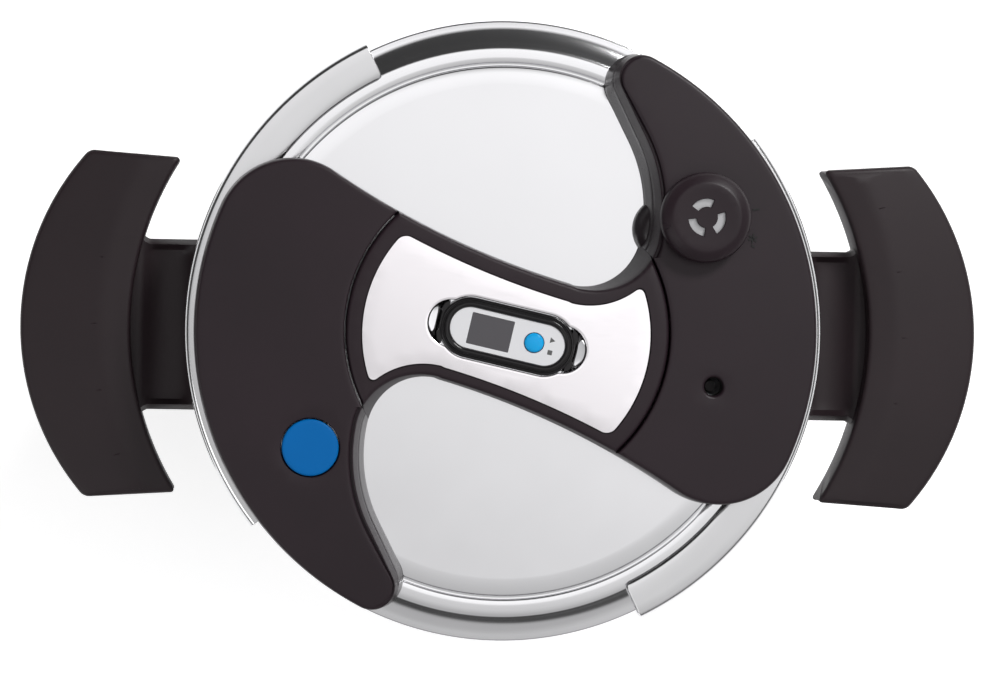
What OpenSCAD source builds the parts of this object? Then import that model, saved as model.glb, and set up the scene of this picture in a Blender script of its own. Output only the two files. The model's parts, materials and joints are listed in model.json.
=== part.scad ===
// Stovetop pressure cooker: steel pot with two side grips, and a lid held down by two
// sliding jaws. Origin at the middle of the base's underside, +X along the two pot grips.

/* [Pot] */
// Inner radius of the pot
pot_r = 110; // [108:0.5:111]
// Height of the pot's flange above the surface it stands on
pot_h = 165; // [163:1:170]
// Thickness of the pot's steel wall
pot_wall = 1.2; // [1:0.1:1.5]
// Outer radius of the pot's flange
flange_r = 117; // [116:0.5:117.5]
// Height of the heat-spreading base
base_h = 6.3; // [5:0.1:8]

/* [Pot grips] */
// Distance from the pot's axis to the outermost point of a grip
grip_reach = 188.3; // [184:0.1:194]
// Half the length of a grip
grip_half = 68; // [62:1:72]
// Height of a grip's top below the flange
grip_drop = 8; // [8:1:12]
// Thickness of a grip
grip_h = 27; // [24:1:30]
// Half the width of the stem that joins a grip to the pot
stem_half = 33.5; // [28:0.5:36]

/* [Lid] */
// Outer radius of the lid's rolled rim
lid_r = 121.3; // [120.5:0.1:121.5]
// Height of the lid's flat disc above the pot's flange
lid_rise = 9; // [9:0.5:9]
// Thickness of the lid's steel
lid_wall = 1.6; // [1.2:0.1:1.6]
// Angle between the jaws' line and the pot grips' line
lid_turn = -12.3; // [-40:0.1:40]

/* [Jaws] */
// Outer radius of the jaws
jaw_r = 124.1; // [123.6:0.1:124.6]
// Radius of the inner edge of the jaws' top flange
jaw_in_r = 109.2; // [108.5:0.1:110]
// Half the angle that each jaw spans
jaw_span = 51; // [45:1:52]
// How far each jaw slides outward to free the pot
jaw_travel = 10; // [8:0.5:10]

/* [Covers] */
// Radius of the covers' outer edge
cover_r = 120.6; // [120.2:0.1:121]
// Height of the covers' crown above the lid's disc
cover_h = 27.5; // [26:0.5:28]
// How far the covers' inner walls lean in from bottom to top
cover_draft = 5.5; // [4:0.5:6]
// Share of that lean on the walls of the middle band
band_lean = 0.2; // [0.1:0.1:0.4]
// Thickness of the covers' plastic
cover_wall = 2.4; // [2:0.1:2.6]
// Radius of the round seam between the middle frame and the covers
seam_r = 62.4; // [60:0.1:63]
// Width of the seams
seam_gap = 0.6; // [0.4:0.1:0.8]

/* [Controls] */
// Distance from the lid's axis to the valve and to the button, along the jaws' line
control_u = 63.4; // [63:0.1:64]
// The same distance across the jaws' line
control_v = 60.3; // [60:0.1:61]
// Radius of the valve knob's foot
knob_r = 17.4; // [16:0.1:18]
// Radius of the release button
button_r = 10.9; // [9:0.1:11]
// How far the release button is pressed
button_travel = 3.5; // [2:0.5:3.5]

/* [Timer] */
// Length of the removable timer
timer_l = 52; // [50:1:54]
// Width of the removable timer
timer_w = 23; // [20:1:23]
// How far the timer sits off the lid's axis, across the jaws' line
timer_off = -1.5; // [-1.5:0.5:0]

/* [Hidden] */
$fn = 96;
big = 400;

// Colours
steel = [0.80, 0.80, 0.82];
dull_steel = [0.62, 0.63, 0.65];
black = [0.22, 0.20, 0.21];
rubber = [0.45, 0.45, 0.47];
blue = [0.06, 0.43, 0.72];

// Heights
grip_top = pot_h - grip_drop;
grip_low = grip_top - grip_h;
stem_top = grip_top - 9;
stem_low = grip_low + 3;
lid_z = pot_h + lid_rise;
jaw_top = lid_z + 2.7;
jaw_low = jaw_top - 17.2;
jaw_t = 1.5;
arm_z = jaw_top + 0.1;
arm_t = 2;
skirt_z = lid_z + 0.6;
rim_gap_z = arm_z + arm_t + 0.8;
split_z = lid_z + 13;
crown_z = lid_z + cover_h;
rail_z = lid_z + 7.3;
rail_t = 1.7;

// The crown is a very large sphere, so the covers fall gently towards the rim.
crown_r = 1300;

// S-shaped outline of the covers and the band between them, in the lid's own frame.
// The outline is the same when turned half a turn, so only one half is stated.
band_c = [39, 348];
band_r = 324.5;
corner_c = [21.8, 46.7];
corner_r = 23;
wall_c = [-14.7, 46];
wall_r = 58.1;
corner_push = 1.4;
lobe_r = 30;
tip_r = 12;
tip_angle = 75.3;

// Jaw arms, and the link that makes the two jaws move together
arm_in = 5.2;
arm_out = 18.6;
link_pin_r = 2;
link_reach = 11;
link_half = asin(jaw_travel / 2 / link_reach);
link_pin_u = link_reach * sin(link_half);
link_pin_v = link_reach * cos(link_half);
stud_r = 4;
rail_half = 58;
rail_w = 20.5;

// Controls
hole_u = 82;
hole_v = -2;
safety_u = -84;
safety_v = -9;
latch_w = 10;
latch_t = 1.6;
frame_screw_u = 40;
cover_posts = [[88, -34], [92, 34], [43, 90]];
plate_in = 6.2;
plate_u = -0.3;
plate_v = -0.9;
recess_half = 31;
recess_end_w = 18;
cradle_floor = lid_z + 18.5;
timer_low = cradle_floor + 1.4;
timer_top = crown_z + 2.2;

// ---- helpers ----

// Points along an arc from angle a0 to angle a1, in n steps
function arc(c, r, a0, a1, n) =
    [for (i = [0:n]) c + r * [cos(a0 + (a1 - a0) * i / n), sin(a0 + (a1 - a0) * i / n)]];

function heading(v) = atan2(v[1], v[0]);

// Centre of the circle at distance a from p and distance b from the origin, on the right
function meet(p, a, b) =
    let (d = norm(p), x = (b * b - a * a + d * d) / (2 * d), y = sqrt(b * b - x * x), e = p / d)
    [x * e[0] - y * e[1], x * e[1] + y * e[0]];

// Half of the S outline; d insets the round walls, e the outer edge and g the band's walls
function s_half(d, e, g) =
    let (
        edge_r = cover_r - e,
        lobe = lobe_r - g,
        tip = tip_r - 0.7 * d,
        lobe_c = meet(-band_c, band_r + g + lobe, edge_r - lobe),
        tip_c = (edge_r - tip) * [cos(tip_angle), sin(tip_angle)],
        lobe_in = heading(-band_c - lobe_c),
        lobe_out = heading(lobe_c),
        gap = tip_c - wall_c,
        lean = heading(gap) - acos((tip + wall_r + d) / norm(gap)),
        wall_end = heading(corner_c - wall_c),
        corner_end = heading(corner_c - band_c)
    )
    concat(
        arc(-band_c, band_r + g, corner_end + 180, heading(lobe_c + band_c), 8),
        arc(lobe_c, lobe, lobe_in, lobe_out, 12),
        arc([0, 0], edge_r, lobe_out + 4, tip_angle - 3, 16),
        arc(tip_c, tip, tip_angle, lean + 180, 10),
        arc(wall_c, wall_r + d, lean - 3, wall_end + 2, 6),
        [for (i = [0:9]) let (f = i / 10, a = wall_end + (corner_end - wall_end) * f)
            corner_c + (corner_r + d - corner_push + (g - d + corner_push) * f * f * (3 - 2 * f))
                * [cos(a), sin(a)]]
    );

function s_outline(d, e, g) = let (h = s_half(d, e, g)) concat(h, -h);

// The covers' walls step in from tier to tier, as their lean asks at each tier's middle
tier_edges = [skirt_z, lid_z + 6.5, split_z, lid_z + 20, crown_z + 1];

function tier_lean(i) =
    cover_draft * ((tier_edges[i] + tier_edges[i + 1]) / 2 - skirt_z) / (crown_z - skirt_z);

// Tiers first to last of the S outline, inset by t, and reaching down by extra
module s_tiers(first, last, t = 0, extra = 0) {
    for (i = [first:last]) {
        lean = tier_lean(i);
        z0 = tier_edges[i] - (i == first ? extra : 0);
        translate([0, 0, z0]) linear_extrude(tier_edges[i + 1] - z0)
            polygon(s_outline(lean + t, lean / 4 + t, lean * band_lean + t));
    }
}

module at_lid() {
    rotate([0, 0, lid_turn]) children();
}

module at_valve() {
    at_lid() translate([control_u, control_v, 0]) children();
}

module at_button() {
    at_lid() translate([-control_u, -control_v, 0]) children();
}

module at_hole() {
    at_lid() translate([hole_u, hole_v, 0]) children();
}

module at_safety() {
    at_lid() translate([safety_u, safety_v, 0]) children();
}

// Upright rod, tube or disc from z0 to z1
module rod(r, z0, z1) {
    translate([0, 0, z0]) cylinder(r = r, h = z1 - z0);
}

module tube(r_out, r_in, z0, z1) {
    difference() {
        rod(r_out, z0, z1);
        rod(r_in, z0 - 1, z1 + 1);
    }
}

module hex_nut(across, bore_r, z0, z1) {
    difference() {
        translate([0, 0, z0]) cylinder(d = across / cos(30), h = z1 - z0, $fn = 6);
        rod(bore_r, z0 - 1, z1 + 1);
    }
}

// Block from corner a to corner b
module block(a, b) {
    translate(a) cube(b - a);
}

// Coil spring about the Z axis: a six-sided wire swept along a helix
module coil(r, wire, z0, z1, turns) {
    steps = 14 * turns;
    sides = 6;
    pitch = (z1 - z0 - 2 * wire) / steps;
    points = [for (i = [0:steps], k = [0:sides - 1])
        let (a = 360 * i / 14, b = 360 * k / sides, q = r + wire * cos(b))
        [q * cos(a), q * sin(a), z0 + wire + pitch * i + wire * sin(b)]];
    polyhedron(points = points, faces = concat(
        [[for (k = [0:sides - 1]) k]],
        [[for (k = [0:sides - 1]) steps * sides + sides - 1 - k]],
        [for (i = [0:steps - 1], k = [0:sides - 1])
            let (m = (k + 1) % sides, j = i * sides)
            [j + k, j + sides + k, j + sides + m, j + m]]
    ));
}

module crown(drop = 0) {
    translate([0, 0, crown_z - crown_r]) rotate([90, 0, 0]) sphere(r = crown_r - drop, $fn = 360);
}

// Flat shape with rounded ends along the jaws' line
module stadium(l, w) {
    for (s = [-1, 1]) translate([s * (l - w) / 2, 0]) circle(d = w);
    square([l - w, w], center = true);
}

// Outline of the recess round the timer: longer than the timer, and round at both ends
module recess(grow = 0) {
    translate([0, timer_off]) {
        stadium(2 * recess_half + 2 * grow, recess_end_w + 2 * grow);
        stadium(timer_l + 0.8 + 2 * grow, timer_w + 0.8 + 2 * grow);
    }
}

// Bow-tie shape of the trim plate, with rounded corners
module bow_tie(grow = 0) {
    translate([plate_u, plate_v]) offset(r = 3, $fn = 32) offset(r = -3, $fn = 32) intersection() {
        circle(r = seam_r - 7 + grow, $fn = 96);
        polygon(s_outline(cover_draft + 2.4 - grow, 3, plate_in - grow));
    }
}

// ---- pot ----

module pot_body() {
    foot_r = pot_r - 12;
    color(steel) rotate_extrude($fn = 180) polygon(concat(
        [[0, base_h]],
        arc([foot_r, base_h + 12 + pot_wall], 12 + pot_wall, 270, 360, 10),
        arc([pot_r + 4, pot_h - pot_wall - 2.8], 2.8, 180, 90, 6),
        [[flange_r - pot_wall, pot_h - pot_wall], [flange_r - pot_wall, pot_h - 2.6]],
        [[flange_r, pot_h - 2.6], [flange_r, pot_h - 0.6], [flange_r - 0.6, pot_h]],
        arc([pot_r + 4, pot_h - 4], 4, 90, 180, 6),
        arc([foot_r, base_h + 12 + pot_wall], 12, 360, 270, 10),
        [[0, base_h + pot_wall]]
    ));
}

module base_core() {
    color(dull_steel) rod(pot_r - 13.1, 1, base_h - 0.1);
}

module base_cap() {
    r = pot_r - 10.8;
    color(steel) rotate_extrude($fn = 180) polygon([
        [0, 0], [r - 1.6, 0], [r, 1.6], [r, base_h - 0.1], [r - 1.2, base_h - 0.1],
        [r - 1.2, 2], [r - 2, 0.9], [0, 0.9]
    ]);
}

// Steel saddle on the pot's wall, with a tongue for the grip
module handle_bracket() {
    wall = pot_r + pot_wall;
    color(dull_steel) difference() {
        union() {
            intersection() {
                tube(wall + 1.3, wall + 0.02, stem_low + 2, stem_top - 2);
                block([0, 4 - stem_half, 0], [big, stem_half - 4, big]);
            }
            block([wall + 0.6, -12, stem_low + 5.5], [wall + 25, 12, stem_low + 8.5]);
        }
        translate([wall + 17, 0, 0]) rod(2.1, 0, big);
    }
}

// Outline of a grip and of its stem, seen from above
grip_bow = 26;
grip_arc_r = (grip_half * grip_half + grip_bow * grip_bow) / (2 * grip_bow);
grip_waist = grip_reach - 43;
grip_in_bow = 19;
grip_in_half = grip_half - 2.5;
grip_in_r = (grip_in_half * grip_in_half + grip_in_bow * grip_in_bow) / (2 * grip_in_bow);

module grip_outline() {
    out_a = asin(grip_half / grip_arc_r);
    in_a = asin(grip_in_half / grip_in_r);
    polygon(concat(
        arc([grip_reach - grip_arc_r, 0], grip_arc_r, -out_a, out_a, 28),
        arc([grip_waist - grip_in_r, 0], grip_in_r, in_a, -in_a, 20)
    ));
}

// Section of a grip through its middle: a low ridge, and rounded edges
module grip_section() {
    r = grip_arc_r;
    polygon([
        [r - 64, grip_low + 5], [r - 34, grip_low], [r - 9, grip_low], [r - 3, grip_low + 4],
        [r - 0.4, grip_low + 9], [r, grip_low + 15], [r - 0.8, grip_top - 7],
        [r - 3, grip_top - 3.4], [r - 7, grip_top - 1.6], [r - 25, grip_top],
        [r - 42, grip_top - 1.6], [r - 64, grip_top - 5]
    ]);
}

module pot_grip() {
    wall = pot_r + pot_wall;
    color(black) difference() {
        union() {
            intersection() {
                translate([grip_reach - grip_arc_r, 0, 0])
                    rotate_extrude(angle = 120, start = -60, $fn = 180) grip_section();
                linear_extrude(big) grip_outline();
            }
            block([pot_r, -stem_half, stem_low], [grip_waist + 6, stem_half, stem_top]);
            for (s = [-1, 1]) translate([grip_waist - 9, s * stem_half, stem_low])
                linear_extrude(stem_top - stem_low) difference() {
                    translate([-3, s < 0 ? -3 : 0]) square([12, 3]);
                    translate([-3, s * 3]) circle(r = 3, $fn = 32);
                }
        }
        rod(wall + 1.5, 0, big);
        difference() {
            translate([grip_waist - 14.5, 0, stem_top + 11]) rotate([90, 0, 0])
                cylinder(r = 15, h = 2 * stem_half - 4, center = true);
            linear_extrude(big) grip_outline();
        }
        block([0, -12.2, stem_low + 5.3], [wall + 25.3, 12.2, stem_low + 8.7]);
        translate([wall + 17, 0, 0]) rod(2.4, 0, stem_low + 10.5);
        translate([wall + 17, 0, 0]) rod(4.4, 0, stem_low + 2.5);
    }
}

module left_handle_bracket() {
    rotate([0, 0, 180]) handle_bracket();
}

module right_handle_bracket() {
    handle_bracket();
}

module left_pot_grip() {
    rotate([0, 0, 180]) pot_grip();
}

module right_pot_grip() {
    pot_grip();
}

module grip_screws() {
    color(dull_steel) for (a = [0, 180]) rotate([0, 0, a])
        translate([pot_r + pot_wall + 17, 0, 0]) {
            rod(2, stem_low + 2.3, stem_low + 10);
            difference() {
                rod(4, stem_low + 0.3, stem_low + 2.4);
                for (q = [0, 90]) rotate([0, 0, q])
                    block([-2.4, -0.4, 0], [2.4, 0.4, stem_low + 1.5]);
            }
        }
}

// ---- lid ----

// Top line of the lid's section, from its rim to the middle, lowered by t
function lid_line(t) = [
    [lid_r - t, pot_h - 2.5], [lid_r - t, pot_h + 1.5], [lid_r - 0.9 - t * 0.8, pot_h + 3.6 - t * 0.5],
    [lid_r - 3 - t * 0.4, pot_h + 4.8 - t], [110.5, lid_z - 0.9 - t], [108.4, lid_z + 0.1 - t],
    [105, lid_z + 0.2 - t], [104.2, lid_z - 0.8 - t], [103.2, lid_z - 0.8 - t],
    [102.4, lid_z - t], [0, lid_z - t]
];

module lid_shell() {
    low = lid_line(lid_wall);
    n = len(low);
    color(steel) difference() {
        rotate_extrude($fn = 180)
            polygon(concat(lid_line(0), [for (i = [n - 1:-1:0]) low[i]]));
        at_valve() rod(7.1, 0, big);
        at_hole() rod(3.6, 0, big);
        at_safety() rod(4.6, 0, big);
    }
}

module lid_gasket() {
    color(rubber) rotate_extrude($fn = 180) polygon([
        [106.4, pot_h - 6], [108.2, pot_h - 6], [109.4, pot_h + 0.1], [117.6, pot_h + 0.1],
        [118.2, pot_h + 1.2], [117.4, pot_h + 2.6], [110.4, pot_h + 5.8], [107.4, pot_h + 6.2]
    ]);
}

module centre_stud() {
    color(dull_steel) at_lid() {
        rod(8, lid_z + 0.02, lid_z + 1.4);
        rod(stud_r, lid_z + 1.2, rail_z + 8.5);
    }
}

module rail_nut() {
    color(dull_steel) at_lid() hex_nut(13, stud_r + 0.05, rail_z + rail_t + 0.02, rail_z + 7.5);
}

// Inverted channel over the jaw arms, slotted for the latch and the arms' pins
module bridge_rail() {
    color(dull_steel) at_lid() difference() {
        block([-rail_half, -rail_w, lid_z + 0.1], [rail_half, rail_w, rail_z + rail_t]);
        block([-big, -rail_w + 1.5, 0], [big, rail_w - 1.5, rail_z]);
        rod(stud_r + 0.1, 0, big);
        for (s = [-1, 1]) translate([s * frame_screw_u, 0, 0]) rod(1.8, 0, big);
    }
}

// Roof and walls of the S shape, from the first tier up, hollow below
module s_shell(first) {
    difference() {
        intersection() {
            s_tiers(first, 3);
            crown();
        }
        intersection() {
            s_tiers(first, 3, cover_wall, 1);
            crown(cover_wall);
        }
    }
}

module bridge_frame() {
    post_z = rail_z + rail_t + 0.1;
    color(black) at_lid() {
        difference() {
            intersection() {
                s_shell(0);
                rod(seam_r - seam_gap / 2, 0, big);
            }
            difference() {
                linear_extrude(big) bow_tie(0.3);
                crown(1.2);
            }
            translate([0, 0, cradle_floor]) linear_extrude(big) recess(1.6);
            block([-rail_half - 0.4, -rail_w - 0.3, 0], [rail_half + 0.4, rail_w + 0.3, post_z]);
        }
        intersection() {
            for (s = [-1, 1]) translate([s * frame_screw_u, 0, 0]) tube(4, 1.45, post_z, crown_z);
            crown(1.6);
        }
    }
}

module frame_screws() {
    color(dull_steel) at_lid() for (s = [-1, 1]) translate([s * frame_screw_u, 0, 0]) {
        rod(3, rail_z - 2, rail_z - 0.05);
        rod(1.4, rail_z - 0.1, rail_z + 11);
    }
}

// Polished plate, following the crown, with an opening for the timer
module trim_plate() {
    color(steel) at_lid() difference() {
        intersection() {
            linear_extrude(big) bow_tie();
            crown(0.2);
        }
        crown(1.1);
        linear_extrude(big) recess();
    }
}

// Polished dish below the plate's opening, which holds the timer
module timer_cradle() {
    color(steel) at_lid() difference() {
        translate([0, 0, cradle_floor]) linear_extrude(crown_z - 1.6 - cradle_floor) recess(1.3);
        translate([0, 0, cradle_floor + 1.2]) linear_extrude(big) recess();
    }
}

// The part of the S outline that one cover takes: the right one, or the left one
module cover_side(right) {
    intersection() {
        children();
        rotate([0, 0, right ? 0 : 180]) difference() {
            block([0, -big, 0], [big, big, big]);
            rod(seam_r + seam_gap / 2, -1, big + 1);
        }
    }
}

module cover_post_places(right) {
    rotate([0, 0, right ? 0 : 180]) for (p = cover_posts) translate([p[0], p[1], 0]) children();
}

module cover_top(right) {
    cover_side(right) s_shell(2);
    intersection() {
        cover_post_places(right) tube(4, 1.45, rim_gap_z + 2.1, crown_z);
        crown(1.6);
    }
}

// Wall below the cover, with tabs for its screws; it stays clear of the jaws and arms
module cover_skirt(right) {
    cover_side(right) difference() {
        s_tiers(0, 1);
        s_tiers(0, 1, cover_wall, 1);
        rotate([0, 0, right ? 0 : 180]) rotate_extrude(angle = 110, start = -55)
            translate([106.5, skirt_z - 2]) square([20, rim_gap_z - skirt_z + 2]);
    }
    cover_side(right) intersection() {
        s_tiers(0, 1, 1);
        cover_post_places(right) difference() {
            union() {
                rod(5, rim_gap_z, rim_gap_z + 2);
                block([0, -4, rim_gap_z], [30, 4, rim_gap_z + 2]);
            }
            rod(1.7, 0, big);
        }
    }
}

module left_cover() {
    color(black) difference() {
        at_lid() cover_top(false);
        at_button() rod(button_r + 0.4, 0, big);
    }
    color(black) at_button() difference() {
        rod(button_r + 2.2, lid_z + 11, crown_z - 5.5);
        rod(button_r + 0.4, lid_z + 12.5, big);
        rod(3.3, 0, big);
    }
}

module right_cover() {
    color(black) difference() {
        at_lid() cover_top(true);
        at_valve() rod(11.6, 0, big);
        at_hole() rod(3.5, 0, big);
        at_hole() translate([0, 0, crown_z - 3.9]) cylinder(r1 = 3.5, r2 = 5.5, h = 2);
    }
}

module left_cover_skirt() {
    color(black) at_lid() cover_skirt(false);
}

// The right skirt also bulges round the foot of the valve
module right_cover_skirt() {
    color(black) at_lid() {
        cover_skirt(true);
        cover_side(true) intersection() {
            translate([51.7, 53.1, 0]) rotate_extrude() polygon([
                [0, skirt_z], [12.6, skirt_z], [12.6, lid_z + 4], [11.8, lid_z + 5.4],
                [9.6, lid_z + 6.2], [0, lid_z + 6.4]
            ]);
            translate([wall_c[0], wall_c[1], 0]) rod(wall_r + 2, 0, split_z);
        }
    }
}

module cover_screws() {
    color(dull_steel) at_lid() for (right = [true, false]) cover_post_places(right) {
        rod(3, rim_gap_z - 1.8, rim_gap_z - 0.05);
        rod(1.4, rim_gap_z - 0.1, rim_gap_z + 10);
    }
}

// ---- valves ----

valve_seat = lid_z + 7;
valve_top = lid_z + 23;

module valve_body() {
    color(steel) at_valve() difference() {
        union() {
            rod(7, lid_z - 12, valve_top);
            rod(11, lid_z + 0.05, lid_z + 2.6);
        }
        rod(3.2, 0, big);
        rod(5.2, valve_seat, big);
    }
}

module valve_nut() {
    color(dull_steel) at_valve() hex_nut(19, 7.05, lid_z - 9.5, lid_z - 4.5);
}

module valve_seal() {
    color(rubber) at_valve() tube(10.5, 7.05, lid_z - 4.4, lid_z - lid_wall - 0.05);
}

module spring_retainer() {
    color(steel) at_valve() difference() {
        union() {
            rod(5.1, valve_top - 2.5, valve_top + 0.1);
            rod(6.6, valve_top + 0.05, valve_top + 1.2);
        }
        rod(2.2, 0, big);
    }
}

module valve_plunger() {
    color(steel) at_valve() {
        translate([0, 0, valve_seat + 0.1]) cylinder(r1 = 3.6, r2 = 4.8, h = 1.2);
        rod(4.8, valve_seat + 1.2, valve_seat + 3);
        rod(2.1, valve_seat + 2.9, valve_top + 1.2);
    }
}

module valve_spring() {
    color(dull_steel) at_valve() coil(3.5, 0.5, valve_seat + 3.1, valve_top - 2.6, 6);
}

// Steam openings in the knob: three curved slots
module knob_slots() {
    for (a = [106, -20, 224]) rotate([0, 0, a]) intersection() {
        difference() {
            circle(r = 7.2, $fn = 60);
            circle(r = 4.1, $fn = 60);
        }
        polygon([[0, 0], 20 * [cos(39), -sin(39)], [24, 0], 20 * [cos(39), sin(39)]]);
    }
}

knob_low = crown_z - 0.9;
knob_top = crown_z + 8.2;

module regulator_knob() {
    color(black) at_valve() difference() {
        rotate_extrude() polygon(concat(
            [[7.3, valve_top - 8], [9.8, valve_top - 8], [9.8, knob_low], [knob_r - 0.6, knob_low]],
            [[knob_r, knob_low + 0.8]],
            arc([knob_r - 3.4, knob_top - 3], 3, 8, 90, 6),
            [[0, knob_top], [0, knob_top - 1.8], [8.6, knob_top - 1.8], [8.6, knob_low + 1.2]],
            [[7.3, knob_low + 1.2]]
        ));
        translate([0, 0, knob_top - 4]) linear_extrude(10) rotate([0, 0, -lid_turn]) knob_slots();
    }
}

module knob_insert() {
    color(steel) at_valve() tube(8.5, 2.6, knob_top - 3, knob_top - 2);
}

module indicator_bush() {
    color(rubber) at_hole() difference() {
        union() {
            rod(6, lid_z + 0.05, lid_z + 1.7);
            rod(3.5, lid_z - lid_wall - 0.1, lid_z + 0.1);
            rod(5.6, lid_z - lid_wall - 1.6, lid_z - lid_wall - 0.05);
        }
        rod(2.06, 0, big);
    }
}

module indicator_pin() {
    color([0.15, 0.15, 0.15]) at_hole() {
        rod(2, lid_z - 9.8, lid_z + 12);
        rod(3.2, lid_z - 11.5, lid_z - 9.7);
        rod(2.6, lid_z + 1.75, lid_z + 3);
    }
}

safety_top = lid_z + 15;

module safety_body() {
    color(dull_steel) at_safety() difference() {
        union() {
            rod(4.5, lid_z - 9, lid_z + 0.1);
            rod(7, lid_z + 0.05, lid_z + 4);
            rod(5.6, lid_z + 3.9, safety_top);
        }
        rod(2, 0, big);
        rod(4.2, lid_z + 4, big);
    }
}

module safety_nut() {
    color(dull_steel) at_safety() hex_nut(13, 4.55, lid_z - 6.5, lid_z - lid_wall - 0.05);
}

module safety_retainer() {
    color(dull_steel) at_safety() tube(4.15, 1.8, safety_top - 1.8, safety_top);
}

module safety_poppet() {
    color(dull_steel) at_safety() {
        rod(3.9, lid_z + 4.1, lid_z + 6);
        rod(1.7, lid_z + 5.9, safety_top + 0.5);
    }
}

module safety_spring() {
    color(dull_steel) at_safety() coil(2.9, 0.4, lid_z + 6.1, safety_top - 1.9, 5);
}

// ---- jaws ----

// Curved clamp of U section that hooks over the lid's rim and under the pot's flange
module jaw() {
    lip_r = 113.6;
    color(steel) rotate([0, 0, -jaw_span]) rotate_extrude(angle = 2 * jaw_span, $fn = 180)
        polygon(concat(
            [[lip_r, jaw_low], [jaw_r - 2, jaw_low], [jaw_r, jaw_low + 2]],
            arc([jaw_r - 2.5, jaw_top - 2.5], 2.5, 0, 90, 5),
            [[jaw_in_r + 0.6, jaw_top], [jaw_in_r, jaw_top - 0.6], [jaw_in_r, jaw_top - jaw_t]],
            arc([jaw_r - 3, jaw_top - 3], 1.5, 90, 0, 4),
            [[jaw_r - jaw_t, jaw_low + 2.2], [jaw_r - 2.4, jaw_low + jaw_t]],
            [[lip_r, jaw_low + jaw_t]]
        ));
}

slot_w = 2 * link_pin_r + 0.5;
rivet_places = [[112.6, 8.6], [112, 15.2]];

// Flat bar from the jaw to the middle of the lid, with a cross slot for the link's pin
module jaw_arm() {
    color(dull_steel) difference() {
        block([-link_pin_u - 4.4, arm_in, arm_z], [116.5, arm_out, arm_z + arm_t]);
        translate([-link_pin_u, (link_pin_v + link_reach) / 2, 0]) rotate([0, 0, 90])
            linear_extrude(big) stadium(link_reach - link_pin_v + slot_w, slot_w);
        for (p = rivet_places) translate([p[0], p[1], 0]) rod(2.1, 0, big);
    }
}

module jaw_rivets() {
    color(steel) for (p = rivet_places) translate([p[0], p[1], 0])
        rod(2.05, jaw_top + 0.02, arm_z + arm_t + 0.3);
}

// The right arm runs on the other side of the middle line from the left one, so the
// whole left jaw is the right one turned half a turn.
module right_jaw() {
    at_lid() mirror([0, 1, 0]) jaw();
}

module right_jaw_arm() {
    at_lid() mirror([0, 1, 0]) jaw_arm();
}

module right_jaw_rivets() {
    at_lid() mirror([0, 1, 0]) jaw_rivets();
}

module left_jaw() {
    at_lid() mirror([1, 0, 0]) jaw();
}

module left_jaw_arm() {
    at_lid() mirror([1, 0, 0]) jaw_arm();
}

module left_jaw_rivets() {
    at_lid() mirror([1, 0, 0]) jaw_rivets();
}

// Swivelling link on the centre stud; a pin at each end moves one jaw arm
module sync_link() {
    link_z = arm_z + arm_t + 0.2;
    color(dull_steel) at_lid() rotate([0, 0, -link_half]) difference() {
        union() {
            rod(7, link_z, link_z + 1.8);
            block([-4, -link_reach, link_z], [4, link_reach, link_z + 1.8]);
            for (s = [-1, 1]) translate([0, s * link_reach, 0]) {
                rod(4, link_z, link_z + 1.8);
                rod(link_pin_r, arm_z + 0.2, link_z + 0.1);
            }
        }
        rod(stud_r + 0.06, 0, big);
    }
}

// ---- release button and latch ----

stem_foot = lid_z + 8.6;
button_top = crown_z - 2.6;

module release_button() {
    color(blue) at_button() rotate_extrude() polygon([
        [0, button_top - 5], [2.9, button_top - 5], [2.9, button_top - 2.4],
        [button_r - 1.4, button_top - 2.4], [button_r - 1.4, button_top - 5],
        [button_r, button_top - 5], [button_r, button_top - 0.7],
        [button_r - 0.7, button_top], [0, button_top]
    ]);
    color(blue) at_button() difference() {
        rod(3, stem_foot, button_top - 4.9);
        translate([0, 0, stem_foot]) rotate([-45, 0, 0]) block([-9, -9, -9], [9, 9, 0]);
    }
}

module button_spring() {
    color(dull_steel) at_button() coil(6, 0.5, lid_z + 12.6, button_top - 2.5, 4);
}

// Sliding latch: a strip whose wedge is driven back by the button's foot
module release_latch() {
    tip_v = control_v + arm_in - 0.5;
    color(dull_steel) at_button() {
        block([-latch_w / 2, -9, arm_z], [latch_w / 2, tip_v, arm_z + latch_t]);
        difference() {
            block([-4, -9, arm_z], [4, 3, stem_foot + 1]);
            translate([0, 0, stem_foot - 0.45]) rotate([-45, 0, 0]) block([-9, -20, 0], [9, 20, 20]);
        }
    }
}

// ---- timer ----

face_z = timer_top - 1;
pad_u = 10.5;
pad_r = 3.7;

module at_timer() {
    at_lid() translate([0, timer_off, 0]) children();
}

module timer_case() {
    color(black) at_timer() difference() {
        union() {
            translate([0, 0, timer_low]) linear_extrude(timer_top - 0.8 - timer_low)
                stadium(timer_l, timer_w);
            translate([0, 0, timer_top - 1]) linear_extrude(1) stadium(timer_l - 2, timer_w - 2);
            for (a = [0, 180]) rotate([0, 0, a]) translate([timer_l / 2, 0, timer_top - 3.4])
                linear_extrude(1.4) polygon([[-2, -8], [1, -5], [1, 5], [-2, 8]]);
        }
        translate([0, 0, timer_low + 2]) linear_extrude(big) stadium(timer_l - 8, timer_w - 5);
        translate([-6, 0, 0]) rod(8.2, 0, big);
    }
}

module timer_face() {
    color([0.90, 0.92, 0.92]) at_timer() difference() {
        translate([0, 0, face_z - 1.6]) linear_extrude(1.6) stadium(timer_l - 8.2, timer_w - 5.2);
        translate([-6.7, 0, 0]) block([-8.4, -6.2, 0], [8.4, 6.2, big]);
        translate([pad_u, 0, 0]) rod(pad_r + 0.3, 0, big);
    }
}

module timer_display() {
    color([0.34, 0.34, 0.35]) at_timer() translate([-6.7, 0, 0])
        block([-8.3, -6.1, face_z - 1.6], [8.3, 6.1, face_z]);
}

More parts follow.
